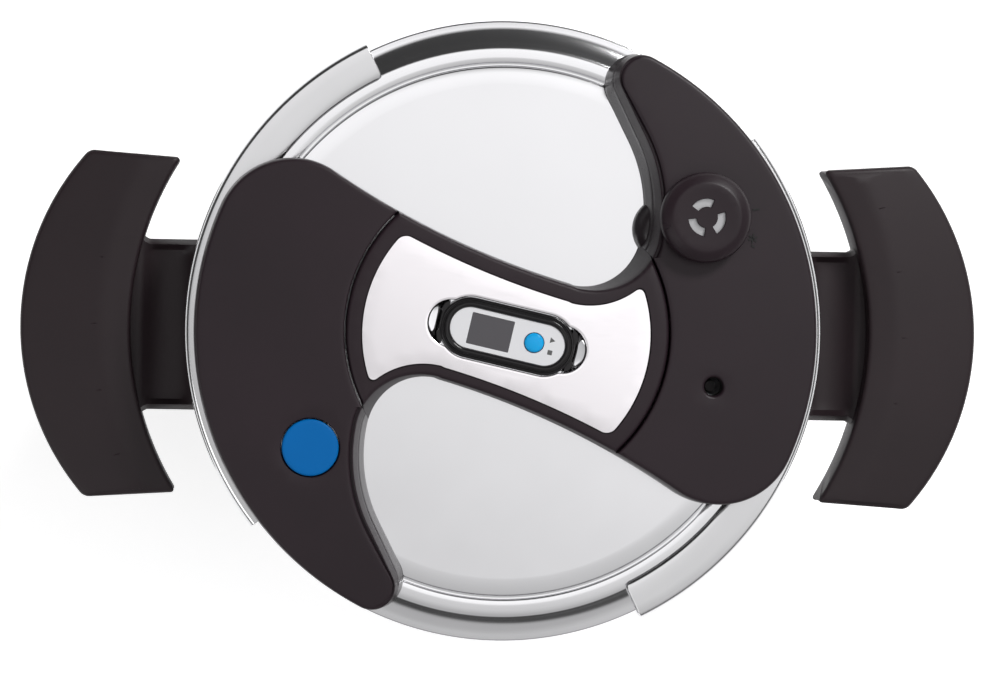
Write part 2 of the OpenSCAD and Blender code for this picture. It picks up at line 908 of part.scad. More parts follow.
module timer_board() {
    color([0.10, 0.30, 0.16]) at_timer() translate([0, 0, face_z - 3.4])
        linear_extrude(1.2) stadium(timer_l - 8.6, timer_w - 5.6);
}

module timer_cell() {
    color(steel) at_timer() translate([-6, 0, 0]) rod(7.8, timer_low + 1.2, timer_low + 3.6);
}

module timer_back() {
    color(black) at_timer() translate([-6, 0, 0]) difference() {
        rod(8, timer_low, timer_low + 1.1);
        block([-5, -0.8, 0], [5, 0.8, timer_low + 0.5]);
    }
}

module timer_button() {
    color([0.10, 0.55, 0.85]) at_timer() translate([pad_u, 0, 0]) rotate_extrude() polygon([
        [0, face_z - 1.2], [pad_r, face_z - 1.2], [pad_r, face_z + 0.3], [pad_r - 0.6, face_z + 1],
        [0, face_z + 1.2]
    ]);
}

pot_body();
base_core();
base_cap();
left_handle_bracket();
right_handle_bracket();
left_pot_grip();
right_pot_grip();
grip_screws();
lid_shell();
lid_gasket();
centre_stud();
rail_nut();
bridge_rail();
bridge_frame();
frame_screws();
trim_plate();
timer_cradle();
left_cover();
right_cover();
left_cover_skirt();
right_cover_skirt();
cover_screws();
valve_body();
valve_nut();
valve_seal();
spring_retainer();
safety_body();
safety_nut();
safety_retainer();
indicator_bush();
left_jaw();
left_jaw_arm();
left_jaw_rivets();
right_jaw();
right_jaw_arm();
right_jaw_rivets();
sync_link();
release_button();
button_spring();
release_latch();
regulator_knob();
knob_insert();
indicator_pin();
valve_plunger();
valve_spring();
safety_poppet();
safety_spring();
timer_case();
timer_face();
timer_display();
timer_board();
timer_cell();
timer_back();
timer_button();
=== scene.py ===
"""Visual model of a stovetop pressure cooker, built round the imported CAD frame."""
import json
from math import acos, asin, atan2, copysign, cos, degrees, hypot, pi, radians, sin, sqrt
from types import SimpleNamespace

import bmesh
import bpy
import numpy as np
from mathutils import Matrix, Vector
from mathutils.geometry import delaunay_2d_cdt


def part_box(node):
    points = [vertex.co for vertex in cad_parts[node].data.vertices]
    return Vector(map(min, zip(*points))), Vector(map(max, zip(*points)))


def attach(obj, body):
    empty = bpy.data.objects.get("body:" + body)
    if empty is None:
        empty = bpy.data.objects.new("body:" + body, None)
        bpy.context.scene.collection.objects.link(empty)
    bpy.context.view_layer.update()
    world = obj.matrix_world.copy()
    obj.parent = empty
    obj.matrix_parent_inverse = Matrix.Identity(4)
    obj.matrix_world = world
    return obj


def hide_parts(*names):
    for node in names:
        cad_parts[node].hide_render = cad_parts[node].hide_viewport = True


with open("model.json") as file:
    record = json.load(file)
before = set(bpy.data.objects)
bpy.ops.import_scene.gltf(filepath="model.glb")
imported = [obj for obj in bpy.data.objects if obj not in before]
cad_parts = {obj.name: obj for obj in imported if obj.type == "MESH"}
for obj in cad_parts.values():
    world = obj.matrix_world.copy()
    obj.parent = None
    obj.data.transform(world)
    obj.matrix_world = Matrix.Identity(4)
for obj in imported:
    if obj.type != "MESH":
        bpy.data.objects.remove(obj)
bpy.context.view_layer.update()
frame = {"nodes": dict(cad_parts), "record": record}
MM = 0.001
SCENE = bpy.context.scene

# ---- sizes, in millimetres; most repeat the CAD model's named values ----

POT_R, POT_H, POT_WALL = 110.0, 165.0, 1.2
FLANGE_R, BASE_H = 117.0, 6.3
GRIP_REACH, GRIP_HALF, GRIP_BOW = 188.3, 68.0, 26.0
GRIP_TOP, GRIP_LOW = 157.0, 130.0
STEM_HALF, STEM_TOP, STEM_LOW = 33.5, 148.0, 133.0
GRIP_WAIST, GRIP_IN_BOW = 145.3, 19.0
LID_R, LID_Z, LID_WALL = 121.0, 174.0, 1.6
LID_TURN = -12.3
JAW_R, JAW_IN_R, JAW_SPAN = 123.9, 109.2, 51.0
JAW_TOP, JAW_LOW, JAW_T = 176.7, 159.5, 1.5
COVER_R, COVER_DRAFT, COVER_WALL = 120.6, 5.5, 2.4
BAND_LEAN = 0.2  # share of the draft along the band
SHELL_WALL = 2.2  # of the skirts and the middle frame
SEAM_R, SEAM_GAP = 62.4, 0.6
SKIRT_Z, SPLIT_Z, CROWN_Z, CROWN_R = 174.6, 187.0, 201.5, 1300.0
RIM_GAP_Z = 179.6
BAND_C, BAND_R = (39.0, 348.0), 324.5
CORNER_C, CORNER_R = (21.8, 46.7), 23.0
WALL_C, WALL_R, CORNER_PUSH = (-14.7, 46.0), 58.1, 1.4
LOBE_R, TIP_R, TIP_ANGLE = 30.0, 12.0, 75.3
KNOB_R, KNOB_LOW, KNOB_TOP = 17.4, 200.6, 209.7
BUTTON_R, BUTTON_TOP = 10.9, 198.9
TIMER_L, TIMER_W, TIMER_LOW, TIMER_TOP = 52.0, 23.0, 193.9, 203.7
TIMER_OFF, PAD_R = -1.5, 3.7
PLATE_U, PLATE_V, PLATE_IN = -0.3, -0.9, 6.2
CRADLE_FLOOR = 192.5
FACE_Z = TIMER_TOP - 1.0
PAD_U = 10.5
DISPLAY_U = -6.7

# Points along each stretch of the covers' and the middle frame's outlines
BAND_N, LOBE_N, EDGE_N, TIP_N, WALL_N, CORNER_N, SEAM_N = 14, 26, 84, 22, 40, 8, 44
FRAME_CORNER_N, FRAME_BAND_N = 20, 34


def middle(node):
    """Middle of a CAD node in plan, in millimetres."""
    low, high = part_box(node)
    return ((low.x + high.x) / 2 / MM, (low.y + high.y) / 2 / MM)


KNOB_AT = middle("regulator_knob")
BUTTON_AT = middle("release_button")
HOLE_AT = middle("indicator_pin")


# ---- plane geometry ----

def polar(r, a, c=(0.0, 0.0)):
    t = radians(a)
    return (c[0] + r * cos(t), c[1] + r * sin(t))


def heading(x, y):
    return degrees(atan2(y, x))


def span(a0, a1, n, last=False):
    """n even steps from a0 to a1; a1 itself only if asked for."""
    return [a0 + (a1 - a0) * i / n for i in range(n + (1 if last else 0))]


def arc(c, r, a0, a1, n):
    """n points of an arc, without its last one."""
    return [polar(r, t, c) for t in span(a0, a1, n)]


def arc_to(c, r, a0, a1, n):
    """An arc with its last point."""
    return [polar(r, t, c) for t in span(a0, a1, n, last=True)]


def flat(points, z):
    """The points at height z."""
    return [(p[0], p[1], z) for p in points]


def level_at(height, x, y):
    """A height given as a number or as a function of x and y."""
    return height(x, y) if callable(height) else height


def clamp(f):
    return min(1.0, max(0.0, f))


def ease(f):
    return f * f * (3 - 2 * f)


def turned(points, angle):
    c, s = cos(radians(angle)), sin(radians(angle))
    return [(p[0] * c - p[1] * s, p[0] * s + p[1] * c) + tuple(p[2:]) for p in points]


def bisect(f, a, b):
    fa = f(a)
    for _ in range(40):
        m = (a + b) / 2
        if (f(m) > 0) == (fa > 0):
            a = m
        else:
            b = m
    return (a + b) / 2


def crown(x, y):
    """Height of the covers' crown."""
    return CROWN_Z - CROWN_R + sqrt(CROWN_R ** 2 - x * x - y * y)


def below_crown(drop):
    return lambda x, y: crown(x, y) - drop


def on_crown(points, drop):
    return [(x, y, crown(x, y) - drop) for x, y in points]


def s_parts(d, e, g, cut):
    """Circles and angles of the S outline, inset by d at the round walls, e at the rim and g
    along the band, and where the round seam of radius cut crosses it."""
    edge, lobe, tip = COVER_R - e, LOBE_R - g, TIP_R - 0.7 * d
    band_r, nb = BAND_R + g, (-BAND_C[0], -BAND_C[1])
    dist = hypot(*nb)
    a, b = band_r + lobe, edge - lobe
    x = (b * b - a * a + dist * dist) / (2 * dist)
    y = sqrt(b * b - x * x)
    ex, ey = nb[0] / dist, nb[1] / dist
    lobe_c = (x * ex - y * ey, x * ey + y * ex)
    tip_c = polar(edge - tip, TIP_ANGLE)
    gap = (tip_c[0] - WALL_C[0], tip_c[1] - WALL_C[1])
    lean = heading(*gap) - degrees(acos((tip + WALL_R + d) / hypot(*gap)))
    wall_end = heading(CORNER_C[0] - WALL_C[0], CORNER_C[1] - WALL_C[1])
    corner_end = heading(CORNER_C[0] - BAND_C[0], CORNER_C[1] - BAND_C[1])
    a_lobe = heading(lobe_c[0] - nb[0], lobe_c[1] - nb[1])
    a_band = bisect(lambda t: hypot(*polar(band_r, t, nb)) - cut, a_lobe, 83)

    def corner(t):
        """Point of the corner's arc, whose inset turns from the wall's into the band's."""
        first = d - CORNER_PUSH
        turn = ease(clamp((t - wall_end) / (corner_end - wall_end)))
        return polar(CORNER_R + first + (g - first) * turn, t, CORNER_C)

    a_corner = bisect(lambda t: hypot(*corner(t)) - cut, wall_end, -60)
    return SimpleNamespace(
        edge=edge, lobe=lobe, tip=tip, band_r=band_r, nb=nb, lobe_c=lobe_c, tip_c=tip_c,
        lean=lean, wall_r=WALL_R + d, wall_end=wall_end, corner_end=corner_end, a_lobe=a_lobe,
        a_band=a_band, a_corner=a_corner, corner=corner, s_in=heading(*corner(a_corner)),
        s_out=heading(*polar(band_r, a_band, nb)))


def cover_loop(d, e, g, cut):
    """Outline of the right cover, counter-clockwise, in the lid's frame."""
    q = s_parts(d, e, g, cut)
    lobe_out = heading(*q.lobe_c)
    return (arc(q.nb, q.band_r, q.a_band, q.a_lobe, BAND_N)
            + arc(q.lobe_c, q.lobe, q.a_lobe - 180, lobe_out, LOBE_N)
            + arc((0, 0), q.edge, lobe_out, TIP_ANGLE, EDGE_N)
            + arc_to(q.tip_c, q.tip, TIP_ANGLE, q.lean + 180, TIP_N)
            + arc(WALL_C, q.wall_r, q.lean, q.wall_end, WALL_N)
            + [q.corner(t) for t in span(q.wall_end, q.a_corner, CORNER_N, last=True)]
            + arc_to((0, 0), cut, q.s_in, q.s_out, SEAM_N))


# For each point of cover_loop: (weight of the groove, 1 on the round seam). The groove begins
# GROOVE_I points round the tip.
GROOVE_I = 5
COVER_KINDS = ([(0.0, 0)] * (BAND_N + LOBE_N + EDGE_N)
               + [(max(0.0, (i - GROOVE_I) / (TIP_N - GROOVE_I)) ** 0.7, 0)
                  for i in range(TIP_N + 1)]
               + [(1.0, 0)] * (WALL_N + CORNER_N + 1) + [(1.0, 1)] * (SEAM_N + 1))


def frame_half(d, g, cut):
    """Half of the middle frame's outline: its round seam, then its wall."""
    q = s_parts(d, 0, g, cut)
    seam = arc_to((0, 0), cut, q.s_out, q.s_in, SEAM_N)
    wall = ([q.corner(t) for t in span(q.a_corner, q.corner_end, FRAME_CORNER_N)]
            + arc_to(BAND_C, q.band_r, q.corner_end, q.a_band - 180, FRAME_BAND_N))
    return seam, wall


def frame_loop(d, _, g, cut):
    """Outline of the middle frame, counter-clockwise."""
    seam, wall = frame_half(d, g, cut)
    half = seam + wall
    return half + [(-x, -y) for x, y in half]


# 1 for each point of frame_loop on the round seam
FRAME_KINDS = ([1] * (SEAM_N + 1) + [0] * (FRAME_CORNER_N + FRAME_BAND_N + 1)) * 2


def drafted(loop, inset, cut, height):
    """The outline's points on the drafted wall, at the given inset; height is a number or a
    function of x and y."""
    low = loop(inset, inset, inset, cut)
    high = loop(COVER_DRAFT + inset, COVER_DRAFT / 4 + inset, COVER_DRAFT * BAND_LEAN + inset, cut)
    out = []
    for a, b in zip(low, high):
        x, y, z = b[0], b[1], 0.0
        for _ in range(2):
            z = level_at(height, x, y)
            f = (z - SKIRT_Z) / (CROWN_Z - SKIRT_Z)
            x, y = a[0] + f * (b[0] - a[0]), a[1] + f * (b[1] - a[1])
        out.append((x, y, z))
    return out


def cover_row(inset, height, cut_inset=None):
    """Points on the right cover's wall; the round seam may have an inset of its own."""
    cut = SEAM_R + SEAM_GAP / 2 + (inset if cut_inset is None else cut_inset)
    return drafted(cover_loop, inset, cut, height)


def stadium(l, w):
    """Flat shape with round ends along u."""
    c, n = (l - w) / 2, 24
    return arc_to((c, 0), w / 2, -90, 90, n) + arc_to((-c, 0), w / 2, 90, 270, n)


def rounded(points, r, n=6):
    """The closed polygon with each corner sharper than 25 degrees rounded; r is the cut-back."""
    p = np.array(points, float)
    m = len(p)
    side = np.roll(p, -1, 0) - p
    step = np.linalg.norm(side, axis=1)
    corners = [i for i in range(m)
               if abs((heading(*side[i]) - heading(*side[i - 1]) + 180) % 360 - 180) > 25]

    def walk(i, sign):
        left, j = r, i
        while True:
            k = (j + sign) % m
            length = step[j] if sign > 0 else step[k]
            if length >= left:
                return p[j] + (p[k] - p[j]) * left / length, k
            left -= length
            j = k

    out = []
    for c, i in enumerate(corners):
        before, _ = walk(i, -1)
        after, k = walk(i, 1)
        for t in np.linspace(0, 1, n):
            q0 = before + (p[i] - before) * 0.56
            q1 = after + (p[i] - after) * 0.56
            out.append(tuple(before * (1 - t) ** 3 + q0 * 3 * t * (1 - t) ** 2
                             + q1 * 3 * t * t * (1 - t) + after * t ** 3))
        _, stop = walk(corners[(c + 1) % len(corners)], -1)
        j = k
        while j != (stop + 1) % m:
            out.append(tuple(p[j]))
            j = (j + 1) % m
    return out


def inside(points, loop):
    """Even-odd test of many points against a closed loop."""
    x, y = points[:, 0], points[:, 1]
    hit = np.zeros(len(points), bool)
    a = np.array([q[:2] for q in loop])
    b = np.roll(a, -1, 0)
    for (x0, y0), (x1, y1) in zip(a, b):
        if y0 == y1:
            continue
        cross = (y0 > y) != (y1 > y)
        hit ^= cross & (x < (x1 - x0) * (y - y0) / (y1 - y0) + x0)
    return hit


# ---- mesh building ----

def add_object(name, data):
    obj = bpy.data.objects.new(name, data)
    SCENE.collection.objects.link(obj)
    return obj


class Shape:
    """Vertices in millimetres and faces, gathered from grids, caps and lathes."""

    def __init__(self):
        self.v, self.f = [], []

    def grid(self, rings, wrap=True, close=False):
        """Quads between rings of equal length; wrap joins each ring's ends."""
        base, n = len(self.v), len(rings[0])
        for ring in rings:
            self.v.extend(ring)
        count = len(rings)
        for k in range(count if close else count - 1):
            a, b = base + k * n, base + ((k + 1) % count) * n
            for i in range(n if wrap else n - 1):
                j = (i + 1) % n
                self.f.append((a + i, a + j, b + j, b + i))
        return self

    def cap(self, outer, holes, height, spacing):
        """Triangulated face inside outer and outside holes, at the given height."""
        def kept(points):
            keep = inside(points, outer)
            for hole in holes:
                keep &= ~inside(points, hole)
            return keep

        loops = [outer] + list(holes)
        pts = [p for loop in loops for p in loop]
        edges, start = [], 0
        for loop in loops:
            n = len(loop)
            edges += [(start + i, start + (i + 1) % n) for i in range(n)]
            start += n
        o = np.array([p[:2] for p in outer])
        lo, hi = o.min(0), o.max(0)
        xs = np.arange(lo[0] + spacing / 2, hi[0], spacing)
        ys = np.arange(lo[1] + spacing / 2, hi[1], spacing)
        g = np.array([(x + (spacing / 2 if k % 2 else 0), y)
                      for k, y in enumerate(ys) for x in xs]).reshape(-1, 2)
        if len(g):
            g = g[kept(g)]
        if len(g):
            rim = np.array([p[:2] for p in pts])
            near = np.min(np.linalg.norm(g[:, None] - rim[None], axis=2), axis=1)
            g = g[near > 0.55 * spacing]
        coords = [Vector(p[:2]) for p in pts] + [Vector(p) for p in g]
        verts, _, faces, vmap, _, _ = delaunay_2d_cdt(coords, edges, [], 0, 1e-5)
        base = len(self.v)
        for co, src in zip(verts, vmap):
            z = pts[src[0]][2] if src and src[0] < len(pts) else level_at(height, co.x, co.y)
            self.v.append((co.x, co.y, z))
        cent = np.array([np.mean([verts[i] for i in f], axis=0) for f in faces])
        self.f.extend(tuple(base + i for i in f) for f, k in zip(faces, kept(cent)) if k)
        return self

    def fan(self, loop):
        """One flat face over a loop."""
        base = len(self.v)
        self.v.extend(loop)
        self.f.append(tuple(range(base, base + len(loop))))
        return self

    def solid(self, rings):
        """A grid with a face over its first ring and its last."""
        return self.grid(rings).fan(rings[0]).fan(rings[-1])

    def lathe(self, profile, centre=(0.0, 0.0), n=96):
        """A profile of (r, z) turned about an upright axis; points at r 0 are closed."""
        return self.grid([flat(arc(centre, max(r, 1e-4), 0, 360, n), z) for r, z in profile])

    def place(self, angle=0.0, at=(0.0, 0.0)):
        self.v = [(x + at[0], y + at[1], z) for x, y, z in turned(self.v, angle)]
        return self

    def at_timer(self):
        return self.place(0, (0, TIMER_OFF)).place(LID_TURN)

    def add(self, other):
        base = len(self.v)
        self.v.extend(other.v)
        self.f.extend(tuple(base + i for i in f) for f in other.f)
        return self

    def piece(self, name, material, body, nodes, slot, sharp=32, bevel=0.0):
        """Make the mesh; nodes are the CAD nodes that it replaces, sharp the angle of its edges."""
        mesh = bpy.data.meshes.new(name)
        mesh.from_pydata([tuple(c * MM for c in v) for v in self.v], [], self.f)
        bm = bmesh.new()
        bm.from_mesh(mesh)
        bmesh.ops.remove_doubles(bm, verts=bm.verts, dist=4e-6)
        bmesh.ops.dissolve_degenerate(bm, edges=bm.edges, dist=1e-6)
        loose = [v for v in bm.verts if not v.link_faces]
        bmesh.ops.delete(bm, geom=loose, context="VERTS")
        bmesh.ops.recalc_face_normals(bm, faces=bm.faces)
        bm.to_mesh(mesh)
        bm.free()
        mesh.polygons.foreach_set("use_smooth", [True] * len(mesh.polygons))
        mesh.set_sharp_from_angle(angle=radians(sharp))
        obj = add_object(name, mesh)
        mesh.materials.append(material)
        if bevel:
            mod = obj.modifiers.new("edge", "BEVEL")
            mod.width = bevel * MM
            mod.segments = 2
            mod.limit_method = "ANGLE"
            mod.angle_limit = radians(40)
        if nodes:
            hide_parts(*nodes)
        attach(obj, body)


# ---- materials ----

def math_node(tree, operation, *values):
    node = tree.nodes.new("ShaderNodeMath")
    node.operation = operation
    for socket, value in zip(node.inputs, values):
        if isinstance(value, (int, float)):
            socket.default_value = value
        else:
            tree.links.new(value, socket)
    return node.outputs[0]


class Nodes:
    """Short way to build a material's node tree."""

    def __init__(self, name, **sockets):
        self.mat = bpy.data.materials.new(name)
        self.mat.use_nodes = True
        self.tree = self.mat.node_tree
        self.bsdf = self.tree.nodes["Principled BSDF"]
        for key, value in sockets.items():
            self.bsdf.inputs[key.replace("_", " ")].default_value = value
        self.place = self.new("TexCoord").outputs["Object"]

    def new(self, kind, links=(), **attrs):
        node = self.tree.nodes.new("ShaderNode" + kind)
        for key, value in attrs.items():
            if hasattr(node, key):
                setattr(node, key, value)
            else:
                node.inputs[key.replace("_", " ")].default_value = value
        for key, source in dict(links).items():
            self.tree.links.new(source, node.inputs[key])
        return node

    def noise(self, scale, detail=2.0, rough=0.5, stretch=None, source=None):
        source = source or self.place
        if stretch:
            m = self.new("Mapping", {"Vector": source})
            m.inputs["Scale"].default_value = stretch
            source = m.outputs["Vector"]
        return self.new("TexNoise", {"Vector": source}, Scale=scale, Detail=detail,
                        Roughness=rough).outputs["Fac"]

    def remap(self, value, lo, hi, a=0.3, b=0.7):
        return self.new("MapRange", {"Value": value}, From_Min=a, From_Max=b,
                        To_Min=lo, To_Max=hi).outputs["Result"]

    def mix(self, factor, a, b):
        node = self.new("Mix", data_type="RGBA")
        self.tree.links.new(factor, node.inputs["Factor"])
        for key, value in (("A", a), ("B", b)):
            socket = [s for s in node.inputs if s.name == key and s.type == "RGBA"][0]
            if isinstance(value, tuple):
                socket.default_value = value + (1.0,)
            else:
                self.tree.links.new(value, socket)
        return [s for s in node.outputs if s.type == "RGBA"][0]

    def math(self, operation, a, b):
        return math_node(self.tree, operation, a, b)

    def set(self, socket, source):
        self.tree.links.new(source, self.bsdf.inputs[socket])

    def bump(self, height, strength, distance):
        node = self.new("Bump", {"Height": height}, Strength=strength, Distance=distance)
        self.set("Normal", node.outputs["Normal"])

    def below(self, height, blend=0.004):
        """1 under the given height, 0 above it."""
        parts = self.new("SeparateXYZ", {"Vector": self.place})
        return self.remap(parts.outputs["Z"], 1.0, 0.0, height - blend, height)

    def radius(self):
        """Distance from the upright axis, as a vector along x for a noise texture."""
        level = self.new("VectorMath", {0: self.place}, operation="MULTIPLY")
        level.inputs[1].default_value = (1.0, 1.0, 0.0)
        length = self.new("VectorMath", {0: level.outputs[0]}, operation="LENGTH")
        return self.new("CombineXYZ", {"X": length.outputs["Value"]}).outputs[0]


def steel(name, colour, rough, lines, ring=True, stretch=None, tint=0.03, haze=0.04,
          wall=None):
    """Metal with fine finishing lines, faint smears and uneven polish.

    wall = (height below which the finish is brushed and the colour is darkened as painted shade,
    colour factor of that painted shade, extra roughness)."""
    n = Nodes(name, Metallic=1.0)
    source = n.radius() if ring else None
    fine = n.noise(2600.0 if ring else 900.0, 3.0, 0.6, stretch=stretch, source=source)
    smear = n.noise(22.0, 3.0, 0.55)
    dark = tuple(c * (1 - tint) for c in colour)
    lit = tuple(min(1.0, c * (1 + tint)) for c in colour)
    paint = n.mix(n.remap(smear, 0.0, 1.0), dark, lit)
    both = n.math("ADD", n.remap(smear, rough - haze / 2, rough + haze / 2),
                  n.remap(fine, 0.0, haze))
    # below the given height: real extra roughness, and the colour darkened as painted shade
    if wall:
        top, factor, extra = wall
        low = n.below(top)
        paint = n.mix(low, paint, tuple(c * factor for c in colour))
        both = n.math("ADD", both, n.math("MULTIPLY", low, extra))
    n.set("Base Color", paint)
    n.set("Roughness", both)
    n.bump(fine, lines, 0.00002)
    return n.mat


def plastic(name, colour, rough, grain=0.12, tint=0.14, scale=1100.0, specular=0.5):
    """Moulded plastic: fine grain, faint flow marks and slightly worn sheen."""
    n = Nodes(name, Specular_IOR_Level=specular)
    cloud = n.noise(16.0, 4.0, 0.6)
    grains = n.noise(scale, 2.0, 0.6)
    dark = tuple(c * (1 - tint) for c in colour)
    lit = tuple(min(1.0, c * (1 + tint)) for c in colour)
    n.set("Base Color", n.mix(n.remap(cloud, 0.0, 1.0), dark, lit))
    n.set("Roughness", n.math("ADD", n.remap(cloud, rough - 0.03, rough + 0.03),
                              n.remap(grains, -0.03, 0.03)))
    n.bump(grains, grain, 0.00006)
    return n.mat


BLACK = plastic("black_plastic", (0.0165, 0.0085, 0.0125), 0.44, specular=0.32)
PHENOLIC = plastic("black_phenolic", (0.019, 0.0115, 0.014), 0.46, grain=0.16, scale=900.0,
                   specular=0.3)
SKIRT = plastic("black_plastic_wall", (0.03, 0.024, 0.027), 0.3, grain=0.2, specular=0.42)
GLOSS_BLACK = plastic("black_gloss", (0.01, 0.009, 0.01), 0.14, grain=0.02, specular=0.3)
BLUE = plastic("blue_button", (0.0, 0.135, 0.43), 0.42, tint=0.06, specular=0.12)
PAD_BLUE = plastic("blue_pad", (0.012, 0.4, 0.83), 0.12, grain=0.01, tint=0.05, specular=0.2)
FACE = plastic("pale_face", (0.8, 0.8, 0.82), 0.32, grain=0.02, tint=0.02, specular=0.25)
GLASS = plastic("display_glass", (0.072, 0.068, 0.076), 0.16, grain=0.01, tint=0.05)
INK = plastic("grey_ink", (0.1, 0.1, 0.1), 0.5, grain=0.05)
SILICONE = plastic("grey_silicone", (0.34, 0.34, 0.35), 0.6, grain=0.2)
BOARD = plastic("circuit_board", (0.02, 0.12, 0.05), 0.45, grain=0.1)
# near-black matte, darker than the black plastic itself: painted shade, used in the tubes under the
# covers' openings and on the knob's moulded marks
SHADE_BLACK = plastic("painted_shade_black", (0.004, 0.004, 0.004), 0.7)

POLISHED = steel("polished_steel", (0.8, 0.8, 0.82), 0.055, 0.05)
PLATE = steel("plate_steel", (0.97, 0.94, 0.965), 0.2, 0.05, ring=False,
              stretch=(0.2, 1.0, 1.0), tint=0.01)
SATIN = steel("satin_steel", (0.62, 0.63, 0.65), 0.28, 0.25)
DISC = steel("lid_disc_steel", (0.83, 0.83, 0.845), 0.11, 0.08, tint=0.02)
JAW_STEEL = steel("jaw_steel", (0.7, 0.7, 0.71), 0.17, 0.12)
INSERT_STEEL = steel("insert_steel", (0.46, 0.46, 0.47), 0.4, 0.3)
# the pot's wall below 150 mm: rougher brushed steel, its colour darkened to 0.42 as painted shade
POT_STEEL_SHADED = steel("pot_wall_steel_painted_shade", (0.78, 0.78, 0.8), 0.09, 0.1, ring=False,
                  stretch=(0.02, 0.02, 1.0), wall=(0.15, 0.42, 0.16))
ALUMINIUM = steel("aluminium_core", (0.7, 0.71, 0.73), 0.35, 0.3)

SLOT_LOOK = {
    "polished_steel": POLISHED, "satin_steel": SATIN, "aluminium_core": ALUMINIUM,
    "black_phenolic": PHENOLIC, "black_plastic": BLACK, "grey_silicone": SILICONE,
    "blue_plastic": BLUE, "light_blue_plastic": PAD_BLUE, "pale_face": FACE,
    "display": GLASS, "circuit_board": BOARD,
}
for part in frame["record"]["subparts"]:
    node = frame["nodes"][part["node"]]
    look = INSERT_STEEL if part["node"] == "knob_insert" else SLOT_LOOK[part["material_slot"]]
    if not node.material_slots:
        node.data.materials.append(look)
    for entry in node.material_slots:
        entry.material = look


# ---- pot ----

def build_pot():
    knee_r, flare_r, lip_r = 12, 4, 0.9
    knee_c = (POT_R - knee_r, BASE_H + knee_r + POT_WALL)
    flare_c = (POT_R + flare_r, POT_H - flare_r)
    knee = arc_to(knee_c, knee_r + POT_WALL, -90, 0, 14)
    flare = arc_to(flare_c, flare_r - POT_WALL, 180, 90, 10)
    lip = arc_to((FLANGE_R - lip_r, POT_H - lip_r), lip_r, -10, 90, 6)
    inner_flare = arc_to(flare_c, flare_r, 90, 180, 10)
    inner_knee = arc_to(knee_c, knee_r, 0, -90, 14)
    walls = [(POT_R + POT_WALL, BASE_H + 14 + 12.0 * i) for i in range(11)]
    profile = ([(0, BASE_H)] + knee + walls + flare
               + [(FLANGE_R - POT_WALL, POT_H - POT_WALL), (FLANGE_R - POT_WALL, POT_H - 2.5),
                  (FLANGE_R - 0.1, POT_H - 2.6)]
               + lip + inner_flare + [(POT_R, POT_H - 60), (POT_R, BASE_H + 40)]
               + inner_knee + [(0, BASE_H + POT_WALL)])
    Shape().lathe(profile, n=192).piece("pot_wall", POT_STEEL_SHADED, "pot", ["pot_body"],
                                        "polished_steel", sharp=28)
    r = POT_R - 10.8
    base = ([(0, 0), (r - 2.4, 0)] + arc_to((r - 2.2, 2.2), 2.2, -90, 0, 8)
            + [(r, BASE_H - 0.7), (r - 0.5, BASE_H - 0.1), (r - 1.2, BASE_H - 0.1),
               (r - 1.2, 2.2), (r - 2.2, 0.9), (0, 0.9)])
    Shape().lathe(base, n=160).piece("base_disc", SATIN, "pot", ["base_cap"], "satin_steel")


# ---- grips ----

GRIP_R = (GRIP_HALF ** 2 + GRIP_BOW ** 2) / (2 * GRIP_BOW)
GRIP_IN_HALF = GRIP_HALF - 2.5
GRIP_IN_R = (GRIP_IN_HALF ** 2 + GRIP_IN_BOW ** 2) / (2 * GRIP_IN_BOW)
GRIP_C = GRIP_REACH - GRIP_R
GRIP_IN_C = GRIP_WAIST - GRIP_IN_R
# Fall of a grip's top with the distance from its inner edge: (distance, fall)
GRIP_CREASE = 12.0
GRIP_FALL = [(0, 0.5), (9, 0.08), (11.4, 0.0), (12.2, 0.06), (14, 0.34), (20, 1.3), (30, 3.0),
             (43, 5.3), (64, 9.0)]


def grip_height(x, y):
    p = hypot(x - GRIP_IN_C, y) - GRIP_IN_R
    return GRIP_TOP - float(np.interp(p, *zip(*GRIP_FALL)))


def grip_loop(inset):
    """A grip's outline, inset on every side, with small round corners."""
    r_out, r_in = GRIP_R - inset, GRIP_IN_R + inset
    out_a = degrees(asin(GRIP_HALF / GRIP_R))
    in_a = degrees(asin(GRIP_IN_HALF / GRIP_IN_R))
    corner = polar(GRIP_R, out_a, (GRIP_C, 0))
    far = polar(GRIP_IN_R, in_a, (GRIP_IN_C, 0))
    side = heading(corner[0] - far[0], corner[1] - far[1])
    nx, ny = sin(radians(side)), -cos(radians(side))
    edge = (corner[0] + nx * inset, corner[1] + ny * inset)

    def along(r, c, guess):
        def f(a):
            x, y = polar(r, a, (c, 0))
            return (x - edge[0]) * nx + (y - edge[1]) * ny
        return bisect(f, guess - 9, guess + 9)

    a1, a2 = along(r_out, GRIP_C, out_a), along(r_in, GRIP_IN_C, in_a)
    pts = arc_to((GRIP_C, 0), r_out, -a1, a1, 72) + arc_to((GRIP_IN_C, 0), r_in, a2, -a2, 72)
    return rounded(pts, max(0.5, 2.2 - inset * 0.5), 7)


